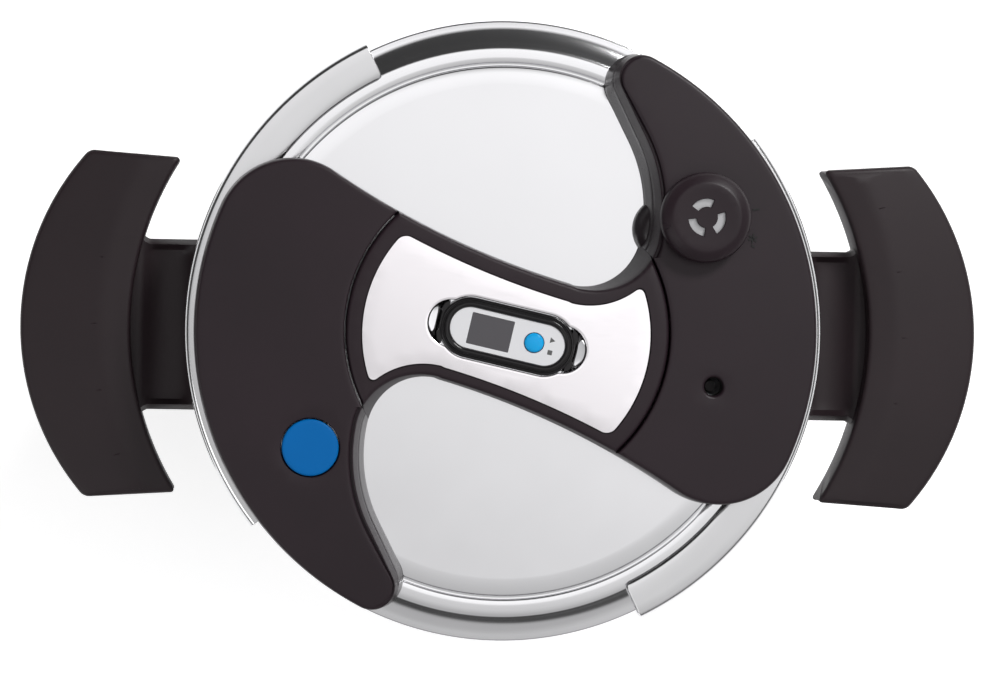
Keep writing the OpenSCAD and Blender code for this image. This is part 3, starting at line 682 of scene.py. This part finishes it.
def build_grips():
    shoulder = [(0.0, 1.9), (0.1, 1.25), (0.32, 0.7), (0.7, 0.28), (1.2, 0.07), (1.9, 0.0)]
    keel = [(3.4, 0.0), (2.0, 0.5), (1.0, 1.3), (0.35, 2.6), (0.0, 4.6)]
    rings = [flat(grip_loop(inset), GRIP_LOW + rise) for inset, rise in keel]
    for inset, fall in shoulder:
        rings.append([(x, y, grip_height(x, y) - fall) for x, y in grip_loop(inset)])
    shape = Shape().grid(rings)
    shape.cap(rings[-1], [], grip_height, 2.6)
    shape.cap(rings[0], [], GRIP_LOW, 9.0)
    # small raised nicks across the top, as the mould leaves them
    for a, length in ((22, 4.6), (11, 4.0), (0, 4.0), (-11, 3.4)):
        x, y = polar(GRIP_IN_R + GRIP_CREASE + 1.5, a, (GRIP_IN_C, 0))
        z = grip_height(x, y)
        bar = [(-length / 2, 0.0, -0.3), (0.0, 0.5, -0.3), (length / 2, 0.0, -0.3),
               (0.0, -0.5, -0.3)]
        base = [(p[0] + x, p[1] + y, p[2] + z) for p in turned(bar, a * 0.7)]
        start = len(shape.v)
        shape.v.extend(base + [(x, y, z + 0.28)])
        shape.f.extend((start + i, start + (i + 1) % 4, start + 4) for i in range(4))
        shape.f.append((start + 3, start + 2, start + 1, start))
    stem = build_stem()
    for side, angle in (("right", 0), ("left", 180)):
        for kind, source in (("grip", shape), ("stem", stem)):
            copy = Shape().add(source).place(angle)
            copy.piece(f"{side}_{kind}", PHENOLIC, "pot", [f"{side}_pot_grip"],
                       "black_phenolic", sharp=38)


def build_stem():
    """Stem from the pot's wall into the grip, with a trough across it and flared ends."""
    x0, x1 = POT_R + POT_WALL + 1.6, GRIP_WAIST + 9.0
    saddle_x, saddle_z, saddle_r = GRIP_WAIST - 14.5, STEM_TOP + 11, 15.0
    meet_x = GRIP_IN_C + sqrt(GRIP_IN_R ** 2 - STEM_HALF ** 2)
    fillet, round_r = 2.6, 3.2
    xs = [x0 + (x1 - x0) * (1 - cos(pi * i / 40)) / 2 for i in range(41)]

    def half_width(x):
        flare = clamp(1 - (meet_x - x) / fillet)
        return STEM_HALF + fillet * (1 - sqrt(1 - flare ** 2))

    rings = []
    for x in xs:
        w = half_width(x)
        ring = []
        for k in range(-16, 17):
            y = k / 16 * w
            edge = clamp((abs(y) - (w - round_r)) / round_r)
            top = STEM_TOP - round_r * (1 - sqrt(1 - edge ** 2))
            dx = x - saddle_x
            if abs(dx) < saddle_r:
                dip = STEM_TOP - (saddle_z - sqrt(saddle_r ** 2 - dx * dx))
                top -= max(0.0, dip) * ease(clamp((STEM_HALF - 2.2 - abs(y)) / 2.4))
            ring.append((y, top))
        low = [(w, STEM_LOW + 2.0), (w - 0.7, STEM_LOW + 0.6), (w - 2.2, STEM_LOW)]
        ring += low + [(-y, z) for y, z in reversed(low)]
        # the first ring follows the pot's round wall
        rings.append([(x if x > x0 else sqrt(x0 * x0 - y * y), y, z) for y, z in ring])
    return Shape().solid(rings)


# ---- lid ----

def build_lid():
    rim = arc_to((LID_R - 0.95, POT_H + 4.2), 0.95, 0, 84, 7)
    slope = [(LID_R - 2.5, 5.35), (LID_R - 3.6, 5.55), (116.1, 5.95), (114.6, 6.6), (113.2, 7.3),
             (112.2, 7.92), (111.5, 8.38), (111.0, 8.66), (110.4, 8.9), (109.6, 9.09),
             (108.6, 9.16), (106.8, 9.18), (105.2, 9.18), (104.7, 9.0), (104.3, 8.3),
             (103.7, 8.1), (103.1, 8.3), (102.8, 8.8), (102.3, 9.0)]
    top = [(LID_R, POT_H - 2.1), (LID_R, POT_H + 1.0)] + rim + [(r, POT_H + z) for r, z in slope]
    disc = [(r, LID_Z) for r in (96, 84, 72, 60, 48, 36, 24, 12, 0)]
    low = [(r - LID_WALL * (1.0 if r > 118 else 0.15), z - LID_WALL) for r, z in top[3:]]
    profile = ([(LID_R - 1.5, POT_H - 2.3), (LID_R - 0.4, POT_H - 2.5)] + top + disc
               + [(0, LID_Z - LID_WALL)] + list(reversed(low)))
    shape = Shape().lathe(profile + [profile[0]], n=240)
    shape.piece("lid_steel", DISC, "lid", ["lid_shell"], "polished_steel", sharp=40)


# ---- covers, their skirts and the middle frame ----

# Section of a cover's top edge, from its wall inward: inset and depth under the crown, first
# where a groove runs inside the edge, then where none does, then on the round seam.
COVER_EDGE = [
    ((0.0, 1.3), (0.0, 1.3), (0.0, 2.6)),
    ((0.05, 0.95), (0.05, 0.95), (0.0, 2.3)),
    ((0.22, 0.72), (0.16, 0.66), (0.0, 2.0)),
    ((0.48, 0.68), (0.34, 0.42), (0.0, 1.7)),
    ((0.62, 0.85), (0.54, 0.26), (0.0, 1.4)),
    ((0.66, 1.5), (0.75, 0.16), (0.0, 1.2)),
    ((1.38, 1.55), (1.0, 0.08), (0.0, 1.0)),
    ((1.44, 0.75), (1.3, 0.04), (0.04, 0.62)),
    ((1.62, 0.4), (1.6, 0.02), (0.2, 0.36)),
    ((2.0, 0.16), (2.0, 0.01), (0.55, 0.16)),
    ((2.6, 0.04), (2.6, 0.0), (1.2, 0.04)),
    ((3.3, 0.0), (3.3, 0.0), (2.0, 0.0)),
]


def cover_ring(step):
    """One ring of a cover's top edge."""
    loops = [cover_row(inset, below_crown(drop)) for inset, drop in step]
    return [s if seam else tuple(a * groove + b * (1 - groove) for a, b in zip(g, p))
            for (groove, seam), g, p, s in zip(COVER_KINDS, *loops)]


def circle(r, centre):
    """Clockwise, as the edge of a hole."""
    return arc(centre, r, 0, -360, 64)


# Tubes below the covers' openings: (name, shape)
COVER_TUBES = []


def build_cover(side, angle):
    low, wall = SPLIT_Z + 0.34, COVER_WALL
    rings = [cover_row(0.3, SPLIT_Z + 0.02), cover_row(0.0, low)]
    for f in (0.25, 0.5, 0.75):
        rings.append(cover_row(0.0, lambda x, y, f=f: low + f * (crown(x, y) - 1.3 - low)))
    rings += [cover_ring(step) for step in COVER_EDGE]
    under, foot = cover_row(wall, below_crown(wall)), cover_row(wall, SPLIT_Z + 0.02)
    shape = Shape().grid([under, foot] + rings)

    # each opening: place, section as radius and depth, and the depth of a tube below it
    if side == "right":
        openings = [
            (KNOB_AT, [(12.0, 0.0), (11.6, 0.4), (11.6, wall)], None),
            (HOLE_AT, [(4.9, 0.0), (4.3, 0.12), (3.85, 0.5), (3.6, 1.1), (3.5, wall)], 9.0)]
    else:
        openings = [
            (BUTTON_AT, [(11.75, 0.0), (11.5, 0.1), (11.35, 0.4), (11.3, 1.2), (11.3, wall)], 12.0)]
    tops, bottoms = [], []
    for at, section, depth in openings:
        at = turned([at], -LID_TURN - angle)[0]
        loops = [on_crown(circle(r, at), drop) for r, drop in section]
        shape.grid(loops)
        tops.append(loops[0])
        bottoms.append(loops[-1])
        if depth:
            r = section[-1][0]
            tube_z = CROWN_Z - 3 - depth
            inner, outer = circle(r, at), circle(r + 1.4, at)
            tube = Shape().grid([on_crown(inner, wall - 0.4), flat(inner, tube_z),
                                 flat(outer, tube_z), on_crown(outer, wall - 0.4)], close=True)
            COVER_TUBES.append((f"{side}_cover_tube_{len(tops)}", tube.place(LID_TURN + angle)))
    shape.cap(rings[-1], tops, crown, 4.2)
    shape.cap(under, bottoms, below_crown(wall), 12.0)
    shape.place(LID_TURN + angle)
    shape.piece(f"{side}_cover_top", BLACK, "lid", [f"{side}_cover"], "black_plastic", sharp=50)


def skirt_low(x, y):
    """Height of a skirt's lower edge: it steps up over the jaw."""
    up = 0.0 if hypot(x, y) < 106.0 else clamp((56.5 - abs(heading(x, y))) / 1.6)
    return SKIRT_Z + (RIM_GAP_Z - SKIRT_Z) * up


def build_skirt(side, angle):
    open_count = len(COVER_KINDS) - SEAM_N - 1

    def row(inset, height):
        return cover_row(inset, height, 0.0)[:open_count]

    def level(f):
        return lambda x, y: skirt_low(x, y) + 0.3 + f * (SPLIT_Z - 0.4 - skirt_low(x, y) - 0.3)

    rows = [row(0.5, skirt_low), row(0.12, lambda x, y: skirt_low(x, y) + 0.1)]
    rows += [row(0.0, level(f)) for f in (0.0, 0.25, 0.5, 0.75, 1.0)]
    rows += [row(0.08, SPLIT_Z - 0.22), row(0.38, SPLIT_Z - 0.04), row(0.6, SPLIT_Z),
             row(SHELL_WALL, SPLIT_Z), row(SHELL_WALL, skirt_low)]
    shape = Shape().grid(rows, wrap=False, close=True)
    shape.fan([r[0] for r in rows]).fan([r[-1] for r in rows])
    shape.place(LID_TURN + angle)
    shape.piece(f"{side}_skirt_wall", SKIRT, "lid", [f"{side}_cover_skirt"], "black_plastic",
                sharp=40)


def build_bulge():
    """Round swelling of the right skirt over the valve's foot."""
    profile = [(0, SKIRT_Z), (12.2, SKIRT_Z), (12.5, SKIRT_Z + 0.4), (12.35, 176.6),
               (11.9, 178.2), (11.1, 179.8), (10.0, 181.2), (8.7, 182.3), (7.2, 182.9),
               (4.0, 183.2), (0, 183.2)]
    shape = Shape().lathe(profile, centre=(51.7, 53.1), n=72).place(LID_TURN)
    shape.piece("valve_bulge", SKIRT, "lid", ["right_cover_skirt"], "black_plastic", sharp=50)


def bow_tie(grow=0.0):
    """Outline of the trim plate in the lid's frame."""
    seam, wall = frame_half(COVER_DRAFT + 2.4 - grow, PLATE_IN - grow, SEAM_R - 7 + grow)
    half = seam + wall[1:-1]
    loop = rounded(half + [(-x, -y) for x, y in half], 3.4 + grow, 8)
    return [(x + PLATE_U, y + PLATE_V) for x, y in loop]


def recess(grow=0.0):
    """Outline of the opening round the timer: two stadiums joined."""
    n = 16
    l1, w1 = 62.0 + 2 * grow, 18.0 + 2 * grow
    l2, w2 = TIMER_L + 0.8 + 2 * grow, TIMER_W + 0.8 + 2 * grow
    c1, c2 = (l1 - w1) / 2, (l2 - w2) / 2
    # the point where the two end circles cross
    r1, r2, dist = w1 / 2, w2 / 2, c1 - c2
    x = (dist * dist + r2 * r2 - r1 * r1) / (2 * dist)
    y = sqrt(max(0.0, r2 * r2 - x * x))
    a1, a2 = heading(x - dist, y), heading(x, y)
    right = (arc((c2, 0), r2, -90, -a2, n) + arc((c1, 0), r1, -a1, a1, 2 * n)
             + arc_to((c2, 0), r2, a2, 90, n))
    return [(x0, y0 + TIMER_OFF) for x0, y0 in right + [(-x1, -y1) for x1, y1 in right]]


def build_frame():
    cut, reach = SEAM_R - SEAM_GAP / 2, SEAM_R + SEAM_GAP / 2 - 0.08

    def joined(wall_ring, seam_ring):
        return [s if k else w for k, s, w in zip(FRAME_KINDS, seam_ring, wall_ring)]

    def ring(inset, drop, seam_drop):
        return joined(drafted(frame_loop, inset, cut - inset, below_crown(drop)),
                      drafted(frame_loop, inset, cut - inset, below_crown(seam_drop)))

    def low_ring(inset, z, seam_drop):
        """The wall goes down to z, the seam only a little; the wall reaches under the seam."""
        return joined(drafted(frame_loop, inset, reach, z),
                      drafted(frame_loop, inset, cut - inset, below_crown(seam_drop)))

    rings = [low_ring(0.3, SKIRT_Z, 4.0)]
    rings += [low_ring(0.0, z, 3.6) for z in (SKIRT_Z + 0.3, 180.0, 187.0, 194.0)]
    rings += [ring(0.0, 1.6, 2.4), ring(0.06, 1.0, 1.6), ring(0.22, 0.6, 1.0),
              ring(0.5, 0.3, 0.5), ring(0.9, 0.1, 0.2), ring(1.5, 0.0, 0.0)]
    wall, ledge = SHELL_WALL, 1.5
    under = ring(wall, wall, wall)
    shape = Shape().grid([under, low_ring(wall, SKIRT_Z, 4.0)] + rings)
    window, well = bow_tie(0.42)[::-1], recess(1.6)[::-1]
    rim = [on_crown(window, drop) for drop in (0.0, 0.3, ledge)]
    well_top, well_low = on_crown(well, ledge), on_crown(well, wall)
    shape.grid(rim)
    shape.cap(rings[-1], [rim[0]], crown, 3.0)
    shape.cap(rim[-1], [well_top], below_crown(ledge), 12.0)
    shape.grid([well_top, well_low])
    shape.cap(under, [well_low], below_crown(wall), 12.0)
    shape.place(LID_TURN)
    shape.piece("middle_frame", BLACK, "lid", ["bridge_frame"], "black_plastic", sharp=45)


def build_plate():
    """Trim plate in the middle frame's window, with an opening for the timer."""
    outer, drop, under = bow_tie(-0.02), 0.12, 1.1
    rings = [on_crown(outer, under), on_crown(outer, drop + 0.42),
             on_crown(bow_tie(-0.14), drop + 0.16)]
    inner = [on_crown(recess(grow)[::-1], depth) for grow, depth in
             ((1.1, drop), (0.26, drop), (0.1, drop + 0.1), (0.02, drop + 0.24), (0.02, under))]
    shape = Shape().grid(rings).grid(inner)
    shape.cap(rings[-1], [inner[0]], below_crown(drop), 3.0)
    shape.cap(rings[0], [inner[-1]], below_crown(under), 12.0)
    shape.place(LID_TURN)
    shape.piece("bow_plate", PLATE, "lid", ["trim_plate"], "polished_steel", sharp=40)


def build_cradle():
    """Bright dish under the plate's opening; it closes in towards its floor at both ends."""
    top, floor = CROWN_Z - 1.7, CRADLE_FLOOR + 1.2
    # how far the ends have closed in at each height
    levels = [(0.0, top), (0.12, top - 0.25), (0.5, top - 0.42), (1.8, top - 0.75),
              (3.2, top - 1.0), (4.2, top - 1.25), (4.55, top - 1.7), (4.6, floor)]

    def narrowed(x, shrink):
        return x - copysign(shrink * clamp((abs(x) - 24.0) / 7.0), x)

    rings = [[(narrowed(x, shrink), y, z) for x, y in recess()] for shrink, z in levels]
    outer = [flat(recess(1.3), z) for z in (CRADLE_FLOOR, top)]
    shape = Shape().grid(outer + rings)
    shape.cap(rings[-1], [], floor, 6.0)
    shape.cap(outer[0], [], CRADLE_FLOOR, 12.0)
    shape.place(LID_TURN)
    shape.piece("timer_dish", POLISHED, "lid", ["timer_cradle"], "polished_steel", sharp=45)


# ---- timer ----

# The case's section from its underside over its rim to its face: growth of the outline, and
# height over the underside or below the top
CASE_LOW = [(-3.4, 0.0), (-2.2, 0.5), (-1.3, 2.2), (-0.5, 4.4)]
CASE_HIGH = [(-0.1, 3.4), (0.0, 2.1), (0.16, 1.95), (0.18, 1.5), (0.0, 1.1), (-0.35, 0.92),
             (-0.75, 0.85), (-0.95, 1.0), (-1.05, 1.25), (-1.25, 1.25), (-1.35, 0.7),
             (-1.6, 0.22), (-2.0, 0.02), (-2.4, 0.0), (-2.9, 0.1), (-3.3, 0.4), (-3.6, 0.95)]
CLIP_PLAN = [(-1.6, -8.4), (0.2, -7.0), (1.0, -4.6), (0.5, -3.9), (0.5, 3.4), (1.0, 4.4),
             (0.1, 7.2), (-1.6, 8.4)]


def build_timer():
    def ring(grow, z):
        return flat(stadium(TIMER_L + 2 * grow, TIMER_W + 2 * grow), z)

    case = Shape().solid([ring(g, TIMER_LOW + z) for g, z in CASE_LOW]
                         + [ring(g, TIMER_TOP - z) for g, z in CASE_HIGH]
                         + [ring(CASE_HIGH[-1][0], TIMER_LOW + 3.0)])
    case.at_timer().piece("timer_bezel", GLOSS_BLACK, "timer", ["timer_case"], "black_plastic",
                          sharp=40)

    for name, turn in (("timer_clip_right", 0), ("timer_clip_left", 180)):
        clip = Shape().solid([[(TIMER_L / 2 + x - s, y * (1 - s / 20), TIMER_TOP - z)
                               for x, y in CLIP_PLAN]
                              for s, z in ((0.0, 4.2), (0.0, 2.2), (0.25, 1.9))])
        clip.place(turn).at_timer().piece(name, GLOSS_BLACK, "timer", ["timer_case"],
                                          "black_plastic", sharp=30)

    half_u, half_v, r = 8.3, 6.1, 0.35
    display = []
    for sx, sy, a in ((1, 1, 0), (-1, 1, 90), (-1, -1, 180), (1, -1, 270)):
        display += arc_to((DISPLAY_U + sx * (half_u - r), sy * (half_v - r)), r, a, a + 90, 4)
    pad_hole = arc((PAD_U, 0), PAD_R + 0.3, 0, 360, 40)
    face_low = FACE_Z - 1.5
    loops = [ring(-3.65, FACE_Z), display[::-1], pad_hole[::-1]]
    low, high = [[flat(loop, z) for loop in loops] for z in (face_low, FACE_Z)]
    face = Shape()
    for a, b in zip(low, high):
        face.grid([a, b])
    face.cap(high[0], high[1:], FACE_Z, 3.0)
    face.cap(low[0], low[1:], face_low, 9.0)
    face.at_timer().piece("timer_dial", FACE, "timer", ["timer_face"], "pale_face", sharp=30)

    glass_z = FACE_Z - 0.12
    lower, upper = flat(display, face_low), flat(display, glass_z)
    glass = Shape().grid([lower, upper]).fan(lower)
    glass.cap(upper, [], glass_z, 4.0)
    glass.at_timer().piece("timer_screen", GLASS, "timer", ["timer_display"], "display", sharp=30)

    dome = [(0, -1.2), (PAD_R, -1.2), (PAD_R, 0.1), (PAD_R - 0.1, 0.4), (PAD_R - 0.3, 0.66),
            (PAD_R - 0.8, 0.88), (2.0, 1.04), (1.0, 1.12), (0, 1.14)]
    pad = Shape().lathe([(r, FACE_Z + z) for r, z in dome], n=56).place(0, (PAD_U, 0))
    pad.at_timer().piece("timer_pad", PAD_BLUE, "timer_button", ["timer_button"],
                         "light_blue_plastic")

    # two plain marks where the pad's uses are printed: a start triangle and a stop square
    marks = {"mark_start": [(16.3, 1.3), (16.3, 3.5), (18.3, 2.4)],
             "mark_stop": [(16.3, -3.2), (18.1, -3.2), (18.1, -1.4), (16.3, -1.4)]}
    for name, points in marks.items():
        mark = Shape().solid([flat(points, z) for z in (FACE_Z - 0.3, FACE_Z + 0.03)])
        mark.at_timer().piece(name, INK, "timer", (), "display", sharp=20)


# ---- jaws ----

def build_jaw(side):
    lip = 113.6
    top_edge = arc_to((JAW_R - 2.5, JAW_TOP - 2.5), 2.5, 0, 84, 9)
    # the top, falling to its inner edge and back below it: radius and depth
    top = [(118.6, 0.02), (116.0, 0.0), (113.6, 0.02), (111.8, 0.06), (110.9, 0.12),
           (110.2, 0.22), (109.7, 0.40), (109.35, 0.66), (JAW_IN_R, 0.95), (JAW_IN_R, JAW_T),
           (109.8, JAW_T), (110.6, JAW_T), (111.8, JAW_T)]
    inner = arc_to((JAW_R - 3, JAW_TOP - 3), 1.5, 90, 0, 5)
    profile = ([(lip, JAW_LOW), (JAW_R - 2.2, JAW_LOW), (JAW_R - 0.8, JAW_LOW + 0.5),
                (JAW_R, JAW_LOW + 2)] + top_edge + [(r, JAW_TOP - z) for r, z in top] + inner
               + [(JAW_R - JAW_T, JAW_LOW + 2.4), (JAW_R - 2.6, JAW_LOW + JAW_T),
                  (lip, JAW_LOW + JAW_T)])
    round_r = 2.2

    def pull(r):
        """How far the end is cut back near the inner edge, as an angle."""
        t = max(0.0, round_r - (r - JAW_IN_R))
        return degrees((round_r - sqrt(max(0.0, round_r ** 2 - t * t))) / r)

    base = 0 if side == "right" else 180
    shape = Shape().solid([[polar(r, s * (JAW_SPAN - pull(r)) + base) + (z,) for r, z in profile]
                           for s in span(-1.0, 1.0, 90, last=True)])
    shape.place(LID_TURN)
    shape.piece(f"{side}_jaw_clamp", JAW_STEEL, f"{side}_jaw", [f"{side}_jaw"],
                "polished_steel", sharp=45, bevel=0.3)


# ---- knob and release button ----

# The knob's shoulder, from its flat top outward: radius and height above its foot
KNOB_SHOULDER = [(12.6, 9.10), (13.2, 8.98), (13.7, 8.76), (14.3, 8.42), (15.2, 7.90),
                 (16.0, 7.38), (16.6, 6.86), (17.0, 6.25), (17.25, 5.5), (17.4, 4.4)]


KNOB_FLAT_R = KNOB_SHOULDER[0][0]
SLOT_IN_R, SLOT_OUT_R, SLOT_HALF, SLOT_ANGLES = 4.1, 7.2, 38.0, (106, -20, -136)


def build_knob():
    x0, y0 = KNOB_AT
    well_r, well_z, low_z, bevel = 8.6, KNOB_LOW + 1.2, KNOB_TOP - 1.8, 0.18
    profile = [(well_r, well_z), (7.3, well_z), (7.3, 189.2), (9.8, 189.2), (9.8, KNOB_LOW),
               (KNOB_R - 0.5, KNOB_LOW), (KNOB_R, KNOB_LOW + 0.5)]
    profile += [(r, KNOB_LOW + z) for r, z in reversed(KNOB_SHOULDER)]
    shape = Shape().lathe(profile, KNOB_AT, 96)

    def slot(base, grow):
        """Curved slot, clockwise, with square ends."""
        end = SLOT_HALF + degrees(grow / 5.6)
        back_end = SLOT_HALF + degrees(grow / 5.6) * 1.3
        return (arc_to(KNOB_AT, SLOT_OUT_R + grow, base + end, base - end, 16)
                + arc_to(KNOB_AT, SLOT_IN_R - grow, base - back_end, base + back_end, 12))

    def dish(x, y):
        """The top falls slightly towards its middle."""
        r = hypot(x - x0, y - y0)
        return KNOB_TOP - 0.35 * max(0.0, 1 - (r / KNOB_FLAT_R) ** 2)

    uppers, lowers = [], []
    for angle in SLOT_ANGLES:
        uppers.append([(x, y, dish(x, y)) for x, y in slot(angle, bevel)])
        lowers.append(flat(slot(angle, 0.0), low_z))
        edge = [(x, y, dish(x, y) - bevel) for x, y in slot(angle, 0.0)]
        shape.grid([uppers[-1], edge, lowers[-1]])
    shape.cap(flat(arc(KNOB_AT, KNOB_FLAT_R, 0, 360, 96), KNOB_TOP), uppers, dish, 1.7)
    roof = flat(arc(KNOB_AT, well_r, 0, 360, 96), low_z)
    shape.cap(roof, lowers, low_z, 3.0)
    shape.grid([roof, flat(roof, well_z)])
    shape.piece("knob_cap", BLACK, "knob", ["regulator_knob"], "black_plastic", sharp=42)


def build_pointer(angle=194):
    """Small raised wedge that lies on the knob's shoulder."""
    rings = []
    for r, w in ((14.6, 0.5), (15.8, 1.1), (17.0, 1.7)):
        z = KNOB_LOW + float(np.interp(r, *zip(*KNOB_SHOULDER)))
        half = degrees(w / r)
        low, high = z - 0.4, z + 0.3
        rings.append([polar(r, angle - half, KNOB_AT) + (low,),
                      polar(r + 0.1, angle - half * 0.7, KNOB_AT) + (high,),
                      polar(r + 0.1, angle + half * 0.7, KNOB_AT) + (high,),
                      polar(r, angle + half, KNOB_AT) + (low,)])
    Shape().solid(rings).piece("knob_pointer", BLACK, "knob", (), "black_plastic", sharp=30)


def build_marks():
    """Moulded marks beside the knob: a plain dash, and a three-stroke star with a tick. They are
    coloured near-black, darker than the cover, as painted shade.
    """
    def stroke(shape, x0, y0, x1, y1):
        dx, dy = x1 - x0, y1 - y0
        half = 0.3 / hypot(dx, dy)
        px, py = -dy * half, dx * half
        plan = [(x0 + px, y0 + py), (x0 - px, y0 - py), (x1 - px, y1 - py), (x1 + px, y1 + py)]
        shape.solid([on_crown(plan, 0.3), on_crown(plan, -0.32)])

    kx, ky = KNOB_AT
    dash, star = Shape(), Shape()
    stroke(dash, kx + 18.6, ky + 3.3, kx + 21.4, ky + 3.8)
    sx, sy = kx + 19.0, ky - 7.6
    for a in (20, 80, 140):
        stroke(star, *polar(1.9, a, (sx, sy)), *polar(1.9, a + 180, (sx, sy)))
    stroke(star, sx - 0.6, sy - 2.6, sx + 0.9, sy - 3.4)
    for name, shape in (("mark_low", dash), ("mark_high", star)):
        # near-black strokes: painted shade on the raised marks
        shape.piece(name, SHADE_BLACK, "lid", (), "black_plastic", sharp=30)


def build_button():
    foot, wall, stem_r, n = 182.6, 1.4, 3.0, 32
    # radius and depth below the button's top
    section = [(0, 5), (2.9, 5), (2.9, 2.4), (BUTTON_R - wall, 2.4), (BUTTON_R - wall, 5),
               (BUTTON_R, 5), (BUTTON_R, 0.8), (BUTTON_R - 0.07, 0.5), (BUTTON_R - 0.25, 0.24),
               (BUTTON_R - 0.6, 0.07), (BUTTON_R - 1.1, 0), (BUTTON_R - 3, 0), (4, 0), (0, 0)]
    shape = Shape().lathe([(r, BUTTON_TOP - z) for r, z in section], BUTTON_AT, 96)
    round_stem = arc((0, 0), stem_r, 0, 360, n)
    # the stem's foot slopes, to push the latch aside
    low = [(x, y, foot + max(0.0, y)) for x, y in round_stem]
    stem = Shape().solid([low, flat(round_stem, BUTTON_TOP - 4.9)])
    shape.add(stem.place(LID_TURN).place(0, BUTTON_AT))
    shape.piece("blue_button", BLUE, "button", ["release_button"], "blue_plastic", sharp=40)


build_pot()
build_grips()
build_lid()
for side_name, side_angle in (("right", 0), ("left", 180)):
    build_cover(side_name, side_angle)
    build_skirt(side_name, side_angle)
    build_jaw(side_name)
# the tubes are black plastic, made near-black and matte as painted shade inside the openings
for tube_name, tube_shape in COVER_TUBES:
    tube_shape.piece(tube_name, SHADE_BLACK, "lid", (), "black_plastic")
build_bulge()
build_frame()
build_plate()
build_cradle()
build_timer()
build_knob()
build_pointer()
build_marks()
build_button()


# ---- stage, light and camera ----

def build_stage():
    bpy.ops.mesh.primitive_plane_add(size=12.0, location=(0.0, 0.0, -0.0005))
    floor = bpy.context.object
    floor.name = "floor"
    n = Nodes("pale_floor", Roughness=0.9, Specular_IOR_Level=0.1, Emission_Strength=0.6)
    n.bsdf.inputs["Emission Color"].default_value = (1.0, 1.0, 1.0, 1.0)
    soft = n.noise(3.0, 2.0, 0.5)
    n.set("Base Color", n.mix(n.remap(soft, 0.0, 1.0), (0.88, 0.88, 0.88), (0.93, 0.93, 0.93)))
    floor.data.materials.append(n.mat)


def disc_light(name, at, size, power):
    """Round soft light, aimed at the cooker."""
    data = bpy.data.lights.new(name, "AREA")
    data.shape = "DISK"
    data.size = size
    data.energy = power
    obj = add_object(name, data)
    obj.location = at
    aim = Vector((0.0, 0.0, 0.15))
    obj.rotation_euler = (aim - Vector(at)).to_track_quat("-Z", "Y").to_euler()


def build_world():
    """Studio tent: white overhead, with darker stretches lower down for the steel to mirror."""
    world = bpy.data.worlds.new("studio")
    SCENE.world = world
    world.use_nodes = True
    tree = world.node_tree
    back = tree.nodes["Background"]
    coord = tree.nodes.new("ShaderNodeTexCoord")
    split = tree.nodes.new("ShaderNodeSeparateXYZ")
    tree.links.new(coord.outputs["Generated"], split.inputs[0])

    def op(kind, *values):
        return math_node(tree, kind, *values)

    def smooth(value, a, b, lo=0.0, hi=1.0):
        node = tree.nodes.new("ShaderNodeMapRange")
        node.interpolation_type = "SMOOTHSTEP"
        tree.links.new(value, node.inputs["Value"])
        for key, v in (("From Min", a), ("From Max", b), ("To Min", lo), ("To Max", hi)):
            node.inputs[key].default_value = v
        return node.outputs["Result"]

    x, y, z = split.outputs
    across = op("SQRT", op("MAXIMUM", op("SUBTRACT", 1.0, op("MULTIPLY", z, z)), 0.0004))
    backness = op("DIVIDE", y, across)
    sideness = op("DIVIDE", x, across)
    # the white roof reaches lower at the front than at the back
    overhead = smooth(op("SUBTRACT", z, op("MULTIPLY", backness, 0.20)), 0.66, 0.76)
    # soft gradient in the roof, seen in flat steel: brighter towards the back right
    u = op("DIVIDE", x, op("MAXIMUM", z, 0.1))
    v = op("DIVIDE", y, op("MAXIMUM", z, 0.1))
    g = op("ADD", op("MULTIPLY", u, 0.5), op("MULTIPLY", v, 0.85))
    roof = op("ADD", op("ADD", 0.89, op("MULTIPLY", smooth(g, -0.06, 0.06, -1.0, 1.0), 0.17)),
              op("MULTIPLY", smooth(g, -0.8, 0.8, -1.0, 1.0), 0.25))
    # low sky: bright near the horizon and on the right, dark below the roof's edge
    low_sky = smooth(z, 0.06, 0.36, 0.80, 0.07)
    low_sky = op("MULTIPLY", low_sky, op("ADD", 0.78, op("MULTIPLY", sideness, 0.35)))
    total = op("ADD", op("MULTIPLY", overhead, roof),
               op("MULTIPLY", low_sky, op("SUBTRACT", 1.0, overhead)))
    tree.links.new(total, back.inputs["Strength"])
    back.inputs["Color"].default_value = (1.0, 0.995, 1.0, 1.0)


def build_camera():
    """Almost straight above; the picture's level line lies 1.1 degrees off the grips' line."""
    tilt, nod, spin, distance, width, rim_z = 3.4, 1.0, 1.1, 1.75, 0.390, 0.168
    target = Vector((-0.0011, -0.0025, rim_z))
    turn = Matrix.Rotation(radians(spin), 3, "Z")
    t = radians(tilt)
    right = turn @ Vector((cos(t), 0.0, sin(t)))
    n = radians(nod)
    away = right.cross(turn @ Vector((0.0, cos(n), -sin(n)))).normalized()
    up = away.cross(right)
    data = bpy.data.cameras.new("camera")
    data.sensor_width = 36.0
    data.lens = 36.0 * distance / width
    data.clip_end = 50.0
    cam = add_object("camera", data)
    m = Matrix((right, up, away)).transposed().to_4x4()
    m.translation = target + away * distance
    cam.matrix_world = m
    SCENE.camera = cam


build_stage()
build_world()
disc_light("key", (0.9, 1.1, 1.5), 0.5, 22.0)
disc_light("fill", (-1.4, -0.9, 1.6), 1.2, 6.0)
build_camera()
SCENE.view_settings.view_transform = "Standard"
